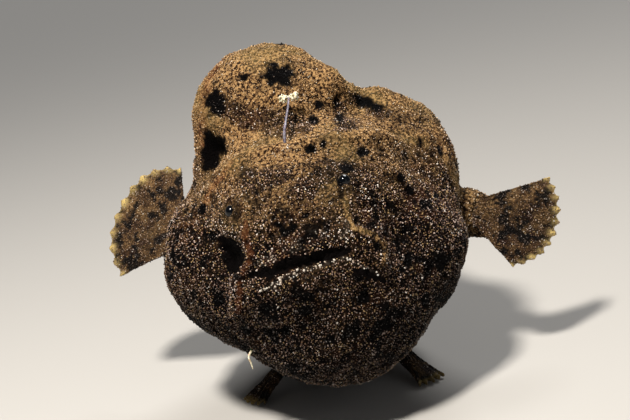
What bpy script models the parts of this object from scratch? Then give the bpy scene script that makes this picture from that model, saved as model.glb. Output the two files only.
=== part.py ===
"""Giant frogfish, life size, sitting upright with both hands spread.

Metres, +Z up.  The snout points to -Y, the fish's left side is +X and the belly
rests on z = 0.  The flesh is one rounded mass blended from a few ellipsoids, then
parted into head, lower jaw, torso, third dorsal spine and tail by thin cuts.
"""

import math

import bmesh
import bpy
import numpy as np
from mathutils import Matrix, Vector, noise

# Gap between neighbouring solids, and the softness of the blends in the flesh.
GAP = 0.0003
BLEND = 0.0062

# The middle of the head, seen from which the whole skin can be reached in straight lines.
CORE = np.array((0.0, -0.006, 0.082))
REACH = 0.26
CHEEK_HEIGHT = 0.072

# Fineness of the skin: an icosphere's level, and the share of its triangles that stay.
SKIN_LEVEL = 7
SKIN_SHARE = 0.066
FACE_BACK = -0.02
PLAIN_FACTOR = 0.00002

# Where the flesh is parted.
MOUTH_TOP = np.array((0.002, -0.080, 0.1015))
MOUTH_SLOPE = math.radians(46)
MOUTH_SKEW = 0.02
MOUTH_GAPE = 0.0021
MOUTH_DEPTH = 0.0170
# How far the mouth line is bent up from that plane, by the place sideways.
MOUTH_BEND_AT = (-0.028, -0.018, -0.010, 0.003, 0.0145, 0.0225, 0.0285, 0.036, 0.046, 0.060)
MOUTH_BEND = (0.0, -0.0025, -0.0044, -0.0050, -0.0004, 0.0030, -0.0012, -0.0062, -0.0040, 0.0)
NECK_POINT = (0.0, 0.012, 0.082)
NECK_TILT = math.radians(24)
HUMP_POINT = (0.0, 0.020, 0.155)
HUMP_TILT = math.radians(14)
TAIL_START = 0.122
TAIL_AXIS_HEIGHT = 0.083

# Eyes and the places on the face, each as (sideways, height).
EYE_RADIUS = 0.0038
EYE_SIDEWAYS = 0.0265
EYE_HEIGHT = 0.1195
EYE_TILT = 0.0030
EYE_SUNK = 0.0018
EYE_MOUND = (0.0016, 0.0085)
EYE_RIM = (0.0014, 0.0011)
MOUTH_HALF = 0.0335
NOSTRIL_SIDEWAYS = 0.0125
NOSTRIL_HEIGHT = 0.111
FACE_SHIFT = -0.002

# Across the mouth line: how far above it, how much raised, how wide.
MOUTH_GROOVE = (0.0, -0.0016, 0.0022)
LOWER_LIP = (-0.0048, 0.0024, 0.0034)
UPPER_LIP = (0.0045, 0.0016, 0.0032)

# The warty skin's uneven swellings: waves per metre and height.
LUMPS = ((85, 0.0013), (36, 0.0020))

# Ray counts of the species.
PECTORAL_RAYS = 11
PELVIC_RAYS = 5
CAUDAL_RAYS = 9
DORSAL_RAYS = 13
ANAL_RAYS = 8
RAY_HALF = 0.28

# The hands: where each wrist is, which way the middle ray points (degrees above
# outwards), how far the rays fan to each side, and the length of the upper and lower ray.
# 1 is the fish's left side and -1 its right one.
SIDE_NAMES = {1: "left", -1: "right"}
SHOULDERS = {1: (0.0500, 0.0480, 0.0720), -1: (-0.0500, 0.0540, 0.0780)}
ELBOWS = {1: (0.0700, 0.0380, 0.0750), -1: (-0.0680, 0.0450, 0.0820)}
WRISTS = {1: np.array((0.0850, 0.0210, 0.0762)), -1: np.array((-0.0785, 0.0350, 0.0845))}
HAND_AIM = {1: -24.0, -1: 29.5}
HAND_FAN = {1: 32.0, -1: 46.5}
RAY_LENGTHS = {1: (0.0365, 0.0235), -1: (0.0315, 0.0375)}
MIDDLE_RAY_EXTRA = {1: 0.0095, -1: 0.0135}
# Half the width of the line that the rays spring from, and how far they start inside the arm.
WRIST_HALF = 0.0088
RAYS_SUNK = 0.0020

# Fins in the middle of the body: where they start and end along it, and their height.
DORSAL_START = 0.064
DORSAL_END = 0.150
DORSAL_HEIGHT = 0.031
ANAL_START = 0.112
ANAL_END = 0.146
ANAL_HEIGHT = 0.032
CAUDAL_ROOT = np.array((0.0120, 0.1560, TAIL_AXIS_HEIGHT))
CAUDAL_LENGTH = 0.064
# How far the outer rays fan to each side, and how far the whole fan droops, in degrees.
CAUDAL_SPREAD = 31
CAUDAL_DROOP = 8

# Colours: red, green, blue and roughness.
SKIN = (0.36, 0.24, 0.14, 0.62)
DARK_SKIN = (0.20, 0.13, 0.09, 0.62)
FIN = (0.30, 0.22, 0.14, 0.60)
PALE = (0.72, 0.62, 0.48, 0.60)
EYE = (0.03, 0.04, 0.05, 0.12)


def mass(sideways, back, height, wide, long, high):
    """One ellipsoid of flesh: its centre and its three half sizes."""
    return np.array((sideways, back, height)), np.array((wide, long, high))


MASSES = (
    # cheeks and the wide lower face
    mass(-0.001, 0.000, CHEEK_HEIGHT, 0.0765, 0.0540, 0.0480),
    # the right cheek, bulging higher than the left
    mass(-0.0470, 0.002, 0.0885, 0.0265, 0.0330, 0.0260),
    # chin
    mass(0.007, -0.030, 0.0600, 0.0450, 0.0390, 0.0430),
    # lower jaw, jutting forward under the mouth
    mass(0.003, -0.046, 0.0850, 0.0330, 0.0290, 0.0240),
    # upper jaw and snout
    mass(-0.001, -0.040, 0.1060, 0.0360, 0.0290, 0.0260),
    # crown of the head
    mass(0.000, -0.010, 0.1140, 0.0500, 0.0400, 0.0290),
    # third dorsal spine inside its thick skin
    mass(-0.017, 0.024, 0.1430, 0.0390, 0.0330, 0.0380),
    # nape behind the hump
    mass(-0.007, 0.056, 0.1280, 0.0260, 0.0360, 0.0270),
    # shoulders
    mass(-0.034, 0.036, 0.1070, 0.0280, 0.0420, 0.0400),
    mass(0.043, 0.036, 0.1000, 0.0310, 0.0420, 0.0420),
    # trunk, belly and hind trunk
    mass(0.003, 0.050, 0.0850, 0.0570, 0.0600, 0.0600),
    mass(0.002, 0.036, 0.0420, 0.0500, 0.0560, 0.0460),
    mass(0.006, 0.088, 0.0840, 0.0380, 0.0520, 0.0480),
    # tail stalk
    mass(0.010, 0.132, 0.0840, 0.0150, 0.0420, 0.0250),
)


def fold(height, width, *places):
    """A fold of the skin: how high and wide it is and the places it runs through."""
    return height, width, places


# Folds of the face; their places are (sideways, height).
FACE_FOLDS = (
    # brow
    fold(0.0030, 0.0055, (-0.036, 0.1300), (0.000, 0.1370), (0.030, 0.1350), (0.052, 0.1260)),
    # folds at the right and the left corner of the mouth
    fold(0.0030, 0.0042, (-0.027, 0.1080), (-0.030, 0.0940), (-0.034, 0.0800), (-0.034, 0.0660)),
    fold(0.0036, 0.0038, (0.022, 0.1040), (0.030, 0.0960), (0.037, 0.0820)),
    # bridge of the snout
    fold(0.0022, 0.0110, (-0.004, 0.1280), (0.000, 0.1120), (0.003, 0.1000)),
)

# Hollows of the face: depth, place and spread; of the body: depth, centre and spread.
FACE_HOLLOWS = (
    (0.0080, (-0.0410, 0.0940), (0.0045, 0.0140, 0.0095)),
    (0.0050, (0.0460, 0.0900), (0.0050, 0.0140, 0.0085)),
    (0.0022, (-0.0120, 0.0600), (0.0130, 0.0200, 0.0040)),
)
BODY_HOLLOWS = (
    (0.0110, (-0.0520, 0.002, 0.128), (0.0110, 0.0120, 0.0130)),
    (0.0040, (0.0580, -0.004, 0.122), (0.0120, 0.0120, 0.0120)),
    (0.0045, (0.0620, 0.004, 0.055), (0.0200, 0.0080, 0.0220)),
    (0.0045, (-0.0620, 0.004, 0.055), (0.0200, 0.0080, 0.0220)),
)


def flesh_distance(points):
    """Rough signed distance to the blended flesh: below zero inside it."""
    total = np.zeros(len(points))
    for centre, half in MASSES:
        offset = points - centre
        scaled = np.linalg.norm(offset / half, axis=1)
        slope = np.linalg.norm(offset / half**2, axis=1)
        distance = scaled * (scaled - 1) / np.maximum(slope, 1e-6)
        total += np.exp(-distance / BLEND)
    return -BLEND * np.log(np.maximum(total, 1e-30))


def flesh_surface(inside, outside):
    """Points where the lines from inside to outside leave the flesh."""
    inner = np.array(inside, dtype=float).reshape(-1, 3)
    outer = np.array(outside, dtype=float).reshape(-1, 3)
    for _ in range(36):
        middle = (inner + outer) / 2
        within = (flesh_distance(middle) < 0)[:, None]
        inner = np.where(within, middle, inner)
        outer = np.where(within, outer, middle)
    return inner


def face_point(sideways, height):
    """The place on the face at this distance sideways and this height."""
    start = (sideways, CORE[1], height)
    return flesh_surface(start, (sideways, -REACH, height))[0]


def back_height(sideways, back):
    """How high the back reaches at this place."""
    return flesh_surface((sideways, back, 0.085), (sideways, back, REACH))[0][2]


def belly_height(sideways, back):
    """How low the underside reaches at this place."""
    return flesh_surface((sideways, back, 0.085), (sideways, back, -0.1))[0][2]


def swelling(points, centre, spread):
    """One at the centre, fading to nothing over the three spreads."""
    return np.exp(-0.5 * (((points - np.array(centre)) / np.array(spread)) ** 2).sum(axis=1))


def distance_to_path(points, path):
    """Distance from each point to a line through the path's points."""
    best = np.full(len(points), np.inf)
    for start, end in zip(path[:-1], path[1:]):
        along = end - start
        share = np.clip((points - start) @ along / (along @ along), 0, 1)
        nearest = start + share[:, None] * along
        best = np.minimum(best, np.linalg.norm(points - nearest, axis=1))
    return best


def ridge(points, height, width, places):
    """A rounded fold of the skin along places on the face."""
    path = [face_point(*place) for place in places]
    return height * np.exp(-((distance_to_path(points, path) / width) ** 2))


def ring(distance, radius, height, width):
    """A rounded rim at this radius, where distance is measured from its centre."""
    return height * np.exp(-(((distance - radius) / width) ** 2))


def mouth_side():
    """Normal of the plane that the mouth opens along, pointing to the upper jaw."""
    side = np.array((MOUTH_SKEW, math.sin(MOUTH_SLOPE), math.cos(MOUTH_SLOPE)))
    return side / np.linalg.norm(side)


def mouth_bend(sideways):
    """How far the mouth line lies above its plane: it peaks left of the middle."""
    return np.interp(sideways, MOUTH_BEND_AT, MOUTH_BEND)


def mouth_relief(points):
    """The two lips along the mouth line, fading out past its corners."""
    above = (points - MOUTH_TOP) @ mouth_side() - mouth_bend(points[:, 0])
    across = np.abs(points[:, 0] - MOUTH_TOP[0]) / MOUTH_HALF
    within = 1 / (1 + np.exp((across - 1) / 0.05))
    on_face = 1 / (1 + np.exp((points[:, 1] + 0.030) / 0.004))
    lift = sum(ring(above, *profile) for profile in (MOUTH_GROOVE, LOWER_LIP, UPPER_LIP))
    return within * on_face * lift


def eye_centre(side):
    """Centre of an eyeball; side is 1 for the fish's left and -1 for its right."""
    place = face_point(side * EYE_SIDEWAYS + FACE_SHIFT, EYE_HEIGHT + side * EYE_TILT)
    inward = CORE - place
    return place + inward / np.linalg.norm(inward) * EYE_SUNK


def eye_relief(points):
    """The mound that carries each eye, with a raised rim round it."""
    lift = np.zeros(len(points))
    for side in (-1, 1):
        centre = eye_centre(side)
        outward = centre - CORE
        outward /= np.linalg.norm(outward)
        offset = points - centre
        beside = np.linalg.norm(offset - (offset @ outward)[:, None] * outward, axis=1)
        facing = offset @ outward > -0.03
        lift += facing * ring(beside, 0, *EYE_MOUND)
        lift += facing * ring(beside, EYE_RADIUS + EYE_RIM[1], *EYE_RIM)
    return lift


def face_relief(points):
    """Brow, folds at the mouth corners, hollows beside them and nostrils."""
    lift = np.zeros(len(points))
    for height, width, places in FACE_FOLDS:
        lift += ridge(points, height, width, places)
    for depth, place, spread in FACE_HOLLOWS:
        lift -= depth * swelling(points, face_point(*place), spread)
    for side in (-1, 1):
        nostril = face_point(side * NOSTRIL_SIDEWAYS + FACE_SHIFT, NOSTRIL_HEIGHT)
        beside = np.linalg.norm(points - nostril, axis=1)
        lift += ring(beside, 0.0019, 0.0010, 0.0011)
        lift -= ring(beside, 0, 0.0016, 0.0012)
    return lift


def body_relief(points):
    """Hollows behind the cheeks and beside the throat, and the gill pores."""
    lift = np.zeros(len(points))
    for depth, centre, spread in BODY_HOLLOWS:
        lift -= depth * swelling(points, centre, spread)
    for side in (-1, 1):
        pore = np.array((side * 0.0560, 0.0720, 0.0520))
        beside = np.linalg.norm((points - pore)[:, 1:], axis=1)
        same_side = points[:, 0] * side > 0
        lift += same_side * ring(beside, 0.0042, 0.0016, 0.0018)
        lift -= same_side * ring(beside, 0, 0.0034, 0.0026)
    return lift


def lumps(points):
    """Low, uneven swellings of the warty skin, smooth round the eyes."""
    lift = np.zeros(len(points))
    for waves, height in LUMPS:
        lift += [noise.noise(Vector(point) * waves) * height for point in points]
    for side in (-1, 1):
        beside = np.linalg.norm(points - eye_centre(side), axis=1)
        lift *= 1 - ring(beside, 0, 1, EYE_MOUND[1])
    return lift


def material(name, red, green, blue, roughness):
    """A plain Principled finish."""
    finish = bpy.data.materials.new(name)
    finish.use_nodes = True
    shader = finish.node_tree.nodes["Principled BSDF"]
    shader.inputs["Base Color"].default_value = (red, green, blue, 1)
    shader.inputs["Roughness"].default_value = roughness
    shader.inputs["Metallic"].default_value = 0
    finish.diffuse_color = (red, green, blue, 1)
    return finish


def add_object(name, mesh, finish=None):
    """Put a mesh in the scene under its own name."""
    thing = bpy.data.objects.new(name, mesh)
    bpy.context.scene.collection.objects.link(thing)
    if finish is not None:
        mesh.materials.clear()
        mesh.materials.append(material(name + "_finish", *finish))
    return thing


def mesh_from(name, vertices, faces):
    """A mesh whose closed surface faces outwards."""
    mesh = bpy.data.meshes.new(name)
    mesh.from_pydata([tuple(vertex) for vertex in vertices], [], faces)
    shape = bmesh.new()
    shape.from_mesh(mesh)
    bmesh.ops.recalc_face_normals(shape, faces=shape.faces)
    shape.to_mesh(mesh)
    shape.free()
    return mesh


def evaluated_mesh(thing):
    """A copy of the object's mesh with its modifiers carried out."""
    bpy.context.view_layer.update()
    graph = bpy.context.evaluated_depsgraph_get()
    return bpy.data.meshes.new_from_object(thing.evaluated_get(graph))


def replace_mesh(thing, mesh):
    """Give the object this mesh and drop its modifiers."""
    old = thing.data
    for finish in old.materials:
        if finish is not None and finish.name not in mesh.materials:
            mesh.materials.append(finish)
    thing.modifiers.clear()
    thing.data = mesh
    bpy.data.meshes.remove(old)


def islands(shape):
    """Groups of faces that hang together."""
    waiting = set(shape.faces)
    groups = []
    while waiting:
        seed = waiting.pop()
        group = {seed}
        edge_of_group = [seed]
        while edge_of_group:
            face = edge_of_group.pop()
            for edge in face.edges:
                for other in edge.link_faces:
                    if other in waiting:
                        waiting.remove(other)
                        group.add(other)
                        edge_of_group.append(other)
        groups.append(group)
    return groups


def face_volume(face):
    """Signed volume between a face and the origin."""
    corners = [loop.vert.co for loop in face.loops]
    return sum(
        corners[0].dot(second.cross(third)) / 6
        for second, third in zip(corners[1:-1], corners[2:])
    )


def keep_largest(mesh, rank=0):
    """Leave only the largest closed surface of a mesh, or the next one by rank."""
    shape = bmesh.new()
    shape.from_mesh(mesh)
    bmesh.ops.remove_doubles(shape, verts=shape.verts, dist=1e-6)
    bmesh.ops.dissolve_degenerate(shape, edges=shape.edges, dist=2e-6)
    bmesh.ops.holes_fill(shape, edges=[edge for edge in shape.edges if edge.is_boundary])
    groups = sorted(islands(shape), key=lambda group: -abs(sum(map(face_volume, group))))
    loose = [face for group in groups[:rank] + groups[rank + 1 :] for face in group]
    bmesh.ops.delete(shape, geom=loose, context="FACES")
    bmesh.ops.triangulate(shape, faces=shape.faces)
    bmesh.ops.recalc_face_normals(shape, faces=shape.faces)
    shape.to_mesh(mesh)
    shape.free()


def combine(thing, others, operation, rank=0):
    """Cut the others out of the thing, or join them to it, and drop them."""
    group = bpy.data.collections.new("tools")
    bpy.context.scene.collection.children.link(group)
    for other in others:
        group.objects.link(other)
        other.hide_render = True
        other.display_type = "WIRE"
    step = thing.modifiers.new("combine", "BOOLEAN")
    step.operation = operation
    step.operand_type = "COLLECTION"
    step.collection = group
    step.solver = "EXACT"
    mesh = evaluated_mesh(thing)
    replace_mesh(thing, mesh)
    keep_largest(thing.data, rank)
    for other in list(group.objects):
        bpy.data.objects.remove(other)
    bpy.data.collections.remove(group)


def grown_copy(thing, distance):
    """A copy of the object that stands this far outside it, to cut a snug seat with."""
    mesh = thing.data.copy()
    shape = bmesh.new()
    shape.from_mesh(mesh)
    shape.normal_update()
    moves = [vertex.normal * distance for vertex in shape.verts]
    for vertex, move in zip(shape.verts, moves):
        vertex.co += move
    shape.to_mesh(mesh)
    shape.free()
    return add_object(thing.name + "_seat", mesh)


def seat(thing, *hosts):
    """Trim the thing so that it meets its hosts face to face across the gap."""
    combine(thing, [grown_copy(host, GAP * 1.15) for host in hosts], "DIFFERENCE")


def skin_mesh():
    """The whole body from snout to tail as one closed skin."""
    shape = bmesh.new()
    bmesh.ops.create_icosphere(shape, subdivisions=SKIN_LEVEL, radius=1)
    directions = np.array([vertex.co for vertex in shape.verts])
    directions /= np.linalg.norm(directions, axis=1)[:, None]
    start = np.broadcast_to(CORE, directions.shape)
    points = flesh_surface(start, start + directions * REACH)
    lift = mouth_relief(points) + eye_relief(points) + face_relief(points)
    lift += body_relief(points) + lumps(points)
    points = points + directions * lift[:, None]
    for vertex, point in zip(shape.verts, points):
        vertex.co = point
    mesh = bpy.data.meshes.new("skin")
    shape.to_mesh(mesh)
    shape.free()
    return mesh


def body_skin():
    """The skin with its flat stretches drawn in fewer, larger triangles."""
    skin = add_object("skin", skin_mesh())
    plain = skin.vertex_groups.new(name="plain")
    for vertex in skin.data.vertices:
        behind = min(max((vertex.co.y - FACE_BACK) / 0.02, 0.0), 1.0)
        plain.add([vertex.index], 0.15 + 0.85 * behind, "REPLACE")
    thin = skin.modifiers.new("fewer", "DECIMATE")
    thin.ratio = SKIN_SHARE
    thin.vertex_group = plain.name
    thin.vertex_group_factor = PLAIN_FACTOR
    mesh = evaluated_mesh(skin)
    replace_mesh(skin, mesh)
    keep_largest(skin.data)
    return skin


def part_of(skin, name, cuts, finish):
    """The part of the skin behind all cuts, each a point and an outward normal."""
    shape = bmesh.new()
    shape.from_mesh(skin.data)
    for point, normal in cuts:
        everything = shape.verts[:] + shape.edges[:] + shape.faces[:]
        outward = Vector(normal).normalized()
        on_cut = Vector(point) - outward * GAP / 2
        bmesh.ops.bisect_plane(
            shape, geom=everything, dist=1e-7, plane_co=on_cut, plane_no=outward, clear_outer=True
        )
        rim = [edge for edge in shape.edges if edge.is_boundary]
        bmesh.ops.holes_fill(shape, edges=rim)
        lids = [face for face in shape.faces if len(face.verts) > 3]
        bmesh.ops.triangulate(shape, faces=lids, ngon_method="EAR_CLIP")
    mesh = bpy.data.meshes.new(name)
    shape.to_mesh(mesh)
    shape.free()
    keep_largest(mesh)
    return add_object(name, mesh, finish)


def tilted(tilt):
    """A direction along the body, tilted up by an angle: towards +Y and +Z."""
    return (0.0, math.cos(tilt), math.sin(tilt))


def flipped(normal):
    """The same direction the other way round."""
    return tuple(-value for value in normal)


def mouth_blade():
    """The curved sheet that parts the jaws; it is thick where the mouth gapes."""
    sideways = np.concatenate((np.arange(-0.104, -0.036, 0.008), np.arange(-0.036, 0.061, 0.003)))
    sideways = np.append(sideways, np.arange(0.066, 0.106, 0.008))
    inward = np.concatenate((np.arange(-0.030, 0.020, 0.005), np.arange(0.020, 0.170, 0.012)))
    along = np.array((0.0, math.cos(MOUTH_SLOPE), -math.sin(MOUTH_SLOPE)))
    side = mouth_side()
    middle = np.zeros((len(sideways), len(inward), 3))
    half = np.zeros((len(sideways), len(inward)))
    for column, across in enumerate(sideways):
        open_share = max(0.0, 1 - ((across - MOUTH_TOP[0]) / MOUTH_HALF) ** 2) ** 0.5
        for row, deep in enumerate(inward):
            place = MOUTH_TOP + np.array((across - MOUTH_TOP[0], 0.0, 0.0)) + along * deep
            middle[column, row] = place + side * mouth_bend(across)
            shut = min(max((MOUTH_DEPTH - deep) / MOUTH_DEPTH, 0.0), 1.0) ** 0.5
            half[column, row] = GAP / 2 + MOUTH_GAPE * open_share * shut
    return sheet("mouth_blade", middle, half, None)


def make_trunk():
    """Head, lower jaw, torso and third dorsal spine, parted by thin cuts."""
    skin = body_skin()
    neck = (NECK_POINT, tilted(NECK_TILT))
    hump_way = (0.0, -math.sin(HUMP_TILT), math.cos(HUMP_TILT))
    tail = ((0.0, TAIL_START, TAIL_AXIS_HEIGHT), (0.0, 1.0, 0.0))
    floor = ((0.0, 0.0, -GAP / 2), (0.0, 0.0, -1.0))
    behind_neck = (NECK_POINT, flipped(neck[1]))
    below_hump = (HUMP_POINT, hump_way)
    above_hump = (HUMP_POINT, flipped(hump_way))
    made = {
        "head": part_of(skin, "head", (neck, floor), SKIN),
        "lower_jaw": part_of(skin, "lower_jaw", (neck, floor), DARK_SKIN),
        "torso": part_of(skin, "torso", (behind_neck, below_hump, tail, floor), SKIN),
        "third_dorsal_spine": part_of(skin, "third_dorsal_spine", (above_hump,), SKIN),
    }
    combine(made["head"], [mouth_blade()], "DIFFERENCE")
    combine(made["lower_jaw"], [mouth_blade()], "DIFFERENCE", rank=1)
    bpy.data.objects.remove(skin)
    return made


def tail_axis(back):
    """The middle of the tail stalk at this place."""
    return np.array((0.008 + (back - TAIL_START) * 0.10, back, TAIL_AXIS_HEIGHT))


def tail_skin(back, direction):
    """Skin point of the tail stalk, with the trunk's own relief."""
    middle = tail_axis(back)
    point = flesh_surface(middle, middle + direction * 0.12)
    return (point + direction * lumps(point)[:, None])[0]


def make_tail():
    """The tail stalk: rings round its axis that close at its hind end."""
    rings = 9
    sides = 20
    start = TAIL_START + GAP / 2
    end = flesh_surface(tail_axis(start), (0.013, 0.30, TAIL_AXIS_HEIGHT))[0]
    vertices = [tail_axis(start)]
    for ring in range(rings):
        back = start + (end[1] - start) * math.sin(math.pi / 2 * ring / rings)
        for side in range(sides):
            angle = math.tau * side / sides
            direction = np.array((math.cos(angle), 0.0, math.sin(angle)))
            vertices.append(tail_skin(back, direction))
    vertices.append(end)
    faces = ring_faces(rings, sides, first=1, start_pole=0, end_pole=len(vertices) - 1)
    return add_object("tail", mesh_from("tail", vertices, faces), SKIN)


def ring_faces(rings, sides, first, start_pole, end_pole):
    """Triangles between rings of points, closed to a pole at each end."""
    faces = []
    for side in range(sides):
        after = (side + 1) % sides
        faces.append((start_pole, first + after, first + side))
        last = first + (rings - 1) * sides
        faces.append((end_pole, last + side, last + after))
        for ring in range(rings - 1):
            low = first + ring * sides
            high = low + sides
            faces.append((low + side, low + after, high + after))
            faces.append((low + side, high + after, high + side))
    return faces


def smooth_path(points, count):
    """Evenly spaced parameters along a smooth curve through a few points."""
    points = [np.array(point, dtype=float) for point in points]
    spans = len(points) - 1
    padded = [2 * points[0] - points[1]] + points + [2 * points[-1] - points[-2]]
    made = []
    for step in range(count):
        place = spans * step / (count - 1)
        span = min(int(place), spans - 1)
        share = place - span
        before, start, end, after = padded[span : span + 4]
        made.append(
            0.5
            * (
                2 * start
                + (end - before) * share
                + (2 * before - 5 * start + 4 * end - after) * share**2
                + (3 * start - before - 3 * end + after) * share**3
            )
        )
    return np.array(made)


def unit(vector):
    """The vector scaled to length one."""
    vector = np.array(vector, dtype=float)
    return vector / np.linalg.norm(vector)


def limb(name, path, wide, thick, across, sides, finish):
    """A fleshy rod along a path; wide and thick are half sizes at its points."""
    count = len(path)
    slopes = np.gradient(path, axis=0)
    stations = np.linspace(0, 1, count)
    wides = np.interp(stations, np.linspace(0, 1, len(wide)), wide)
    thicks = np.interp(stations, np.linspace(0, 1, len(thick)), thick)
    vertices = [path[0]]
    for place, slope, half_wide, half_thick in zip(path, slopes, wides, thicks):
        along = unit(slope)
        side_way = unit(np.array(across) - (np.array(across) @ along) * along)
        up_way = np.cross(along, side_way)
        for side in range(sides):
            angle = math.tau * side / sides
            vertices.append(
                place
                + side_way * half_wide * math.cos(angle)
                + up_way * half_thick * math.sin(angle)
            )
    tip = path[-1] + unit(slopes[-1]) * thicks[-1] * 0.5
    vertices.append(tip)
    faces = ring_faces(count, sides, first=1, start_pole=0, end_pole=len(vertices) - 1)
    return add_object(name, mesh_from(name, vertices, faces), finish)


def ray_columns(rays, crisp=True):
    """Places across a fin, counted in rays: on each ray, between rays and, if crisp, beside it."""
    columns = [-RAY_HALF]
    for ray in range(rays):
        columns.append(float(ray))
        if crisp or ray == rays - 1:
            columns.append(ray + RAY_HALF)
        if ray < rays - 1:
            columns.append(ray + 0.5)
            if crisp:
                columns.append(ray + 1 - RAY_HALF)
    return columns


def share_across(column, rays):
    """Where a column lies between the fin's two edges, from nothing to one."""
    return (column + RAY_HALF) / (rays - 1 + 2 * RAY_HALF)


def nearness_to_ray(column, rays):
    """One on a ray, nothing beside it."""
    ray = min(max(round(column), 0), rays - 1)
    return max(0.0, 1 - abs(column - ray) / RAY_HALF)


def sheet(name, middle, half, finish):
    """Close a thin curved sheet of middle points into a solid of these half thicknesses."""
    columns, rows = half.shape
    over = np.gradient(middle, axis=0)
    along = np.gradient(middle, axis=1)
    normal = np.cross(over, along)
    normal /= np.linalg.norm(normal, axis=2)[:, :, None]
    front = middle + normal * half[:, :, None]
    back = middle - normal * half[:, :, None]
    vertices = np.concatenate((front.reshape(-1, 3), back.reshape(-1, 3)))
    shift = columns * rows
    faces = []
    for column in range(columns - 1):
        for row in range(rows - 1):
            first = column * rows + row
            second = first + rows
            faces.append((first, second, second + 1))
            faces.append((first, second + 1, first + 1))
            faces.append((shift + second + 1, shift + second, shift + first))
            faces.append((shift + first + 1, shift + second + 1, shift + first))
    rim = [column * rows for column in range(columns)]
    rim += [(columns - 1) * rows + row for row in range(1, rows)]
    rim += [column * rows + rows - 1 for column in range(columns - 2, -1, -1)]
    rim += [row for row in range(rows - 2, 0, -1)]
    for here, there in zip(rim, rim[1:] + rim[:1]):
        faces.append((there, here, shift + here))
        faces.append((there, shift + here, shift + there))
    return add_object(name, mesh_from(name, vertices, faces), finish)


def hand_plane(side):
    """The spread hand's plane: its outward direction, its upward one and its face."""
    face = unit((0.22 * side, -0.86, 0.40))
    outward = unit(np.cross((0.0, 0.0, 1.0), face) * -1.0)
    if outward[0] * side < 0:
        outward = -outward
    upward = unit(np.cross(face, outward))
    if upward[2] < 0:
        upward = -upward
    return outward, upward, face


def hand_point(side, share, out):
    """A place on the spread hand: share across the rays, out from wrist to rim."""
    outward, upward, face = hand_plane(side)
    aim = math.radians(HAND_AIM[side])
    across = upward * math.cos(aim) - outward * math.sin(aim)
    angle = aim + math.radians(HAND_FAN[side]) * (1 - 2 * share)
    way = outward * math.cos(angle) + upward * math.sin(angle)
    upper, lower = RAY_LENGTHS[side]
    length = upper + (lower - upper) * share + MIDDLE_RAY_EXTRA[side] * math.sin(math.pi * share)
    reach = out * (length + RAYS_SUNK) - RAYS_SUNK
    curl = face * (0.0020 * math.sin(3 * math.pi * share) * out - 0.0070 * out * out)
    return WRISTS[side] + across * WRIST_HALF * (1 - 2 * share) + way * reach + curl


def make_pectoral_fin(side):
    """A hand of eleven rays joined by a membrane, each ray's tip standing free."""
    columns = ray_columns(PECTORAL_RAYS)
    rows = 5
    middle = np.zeros((len(columns), rows, 3))
    half = np.zeros((len(columns), rows))
    for number, column in enumerate(columns):
        on_ray = nearness_to_ray(column, PECTORAL_RAYS)
        share = share_across(column, PECTORAL_RAYS)
        rim = 0.93 + 0.07 * on_ray
        for row in range(rows):
            out = row / (rows - 1)
            middle[number, row] = hand_point(side, share, out * rim)
            fleshy = 0.0036 * (1 - out) ** 3
            half[number, row] = 0.00045 + fleshy + on_ray * (0.0012 - 0.0006 * out)
    return sheet(f"pectoral_fin_{SIDE_NAMES[side]}", middle, half, FIN)


def make_pectoral_arm(side):
    """The stout arm from the flank to the wrist, flattening towards the hand."""
    path = smooth_path((SHOULDERS[side], ELBOWS[side], WRISTS[side]), 9)
    _, upward, _ = hand_plane(side)
    name = f"pectoral_arm_{SIDE_NAMES[side]}"
    return limb(name, path, (0.0160, 0.0145, 0.0118), (0.0120, 0.0095, 0.0062), upward, 14, SKIN)


def foot_point(side, share, out):
    """A place on a pelvic foot: share across its rays, out from its root to its toes."""
    root = np.array((side * 0.0260, 0.0160, 0.0180))
    knee = np.array((side * 0.0380, 0.0040, 0.0060))
    angle = math.radians(82 - 60 * share)
    toe_way = np.array((side * math.cos(angle), -math.sin(angle), 0.0))
    sideways = np.array((0.0, 1.0, 0.0)) * (share - 0.5)
    root = root + sideways * 0.010
    knee = knee + sideways * 0.012
    toe = np.array((side * 0.0380, 0.0040, 0.0012)) + toe_way * 0.0165
    return (1 - out) ** 2 * root + 2 * out * (1 - out) * knee + out**2 * toe


def make_pelvic_fin(side):
    """A small stout foot of five rays under the throat, its sole flat on the floor."""
    columns = ray_columns(PELVIC_RAYS, crisp=False)
    rows = 6
    middle = np.zeros((len(columns), rows, 3))
    half = np.zeros((len(columns), rows))
    for number, column in enumerate(columns):
        on_ray = nearness_to_ray(column, PELVIC_RAYS)
        share = share_across(column, PELVIC_RAYS)
        rim = 0.88 + 0.12 * on_ray
        for row in range(rows):
            out = row / (rows - 1)
            middle[number, row] = foot_point(side, share, out * rim)
            half[number, row] = 0.0032 - 0.0022 * out + on_ray * 0.0008
    foot = sheet(f"pelvic_fin_{SIDE_NAMES[side]}", middle, half, FIN)
    cut_at_floor(foot)
    return foot


def cut_at_floor(thing):
    """Cut the thing off flat at the floor."""
    shape = bmesh.new()
    shape.from_mesh(thing.data)
    everything = shape.verts[:] + shape.edges[:] + shape.faces[:]
    bmesh.ops.bisect_plane(
        shape, geom=everything, dist=1e-7, plane_co=(0, 0, 0), plane_no=(0, 0, -1), clear_outer=True
    )
    bmesh.ops.holes_fill(shape, edges=[edge for edge in shape.edges if edge.is_boundary])
    bmesh.ops.triangulate(shape, faces=shape.faces)
    shape.to_mesh(thing.data)
    shape.free()
    keep_largest(thing.data)


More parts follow.
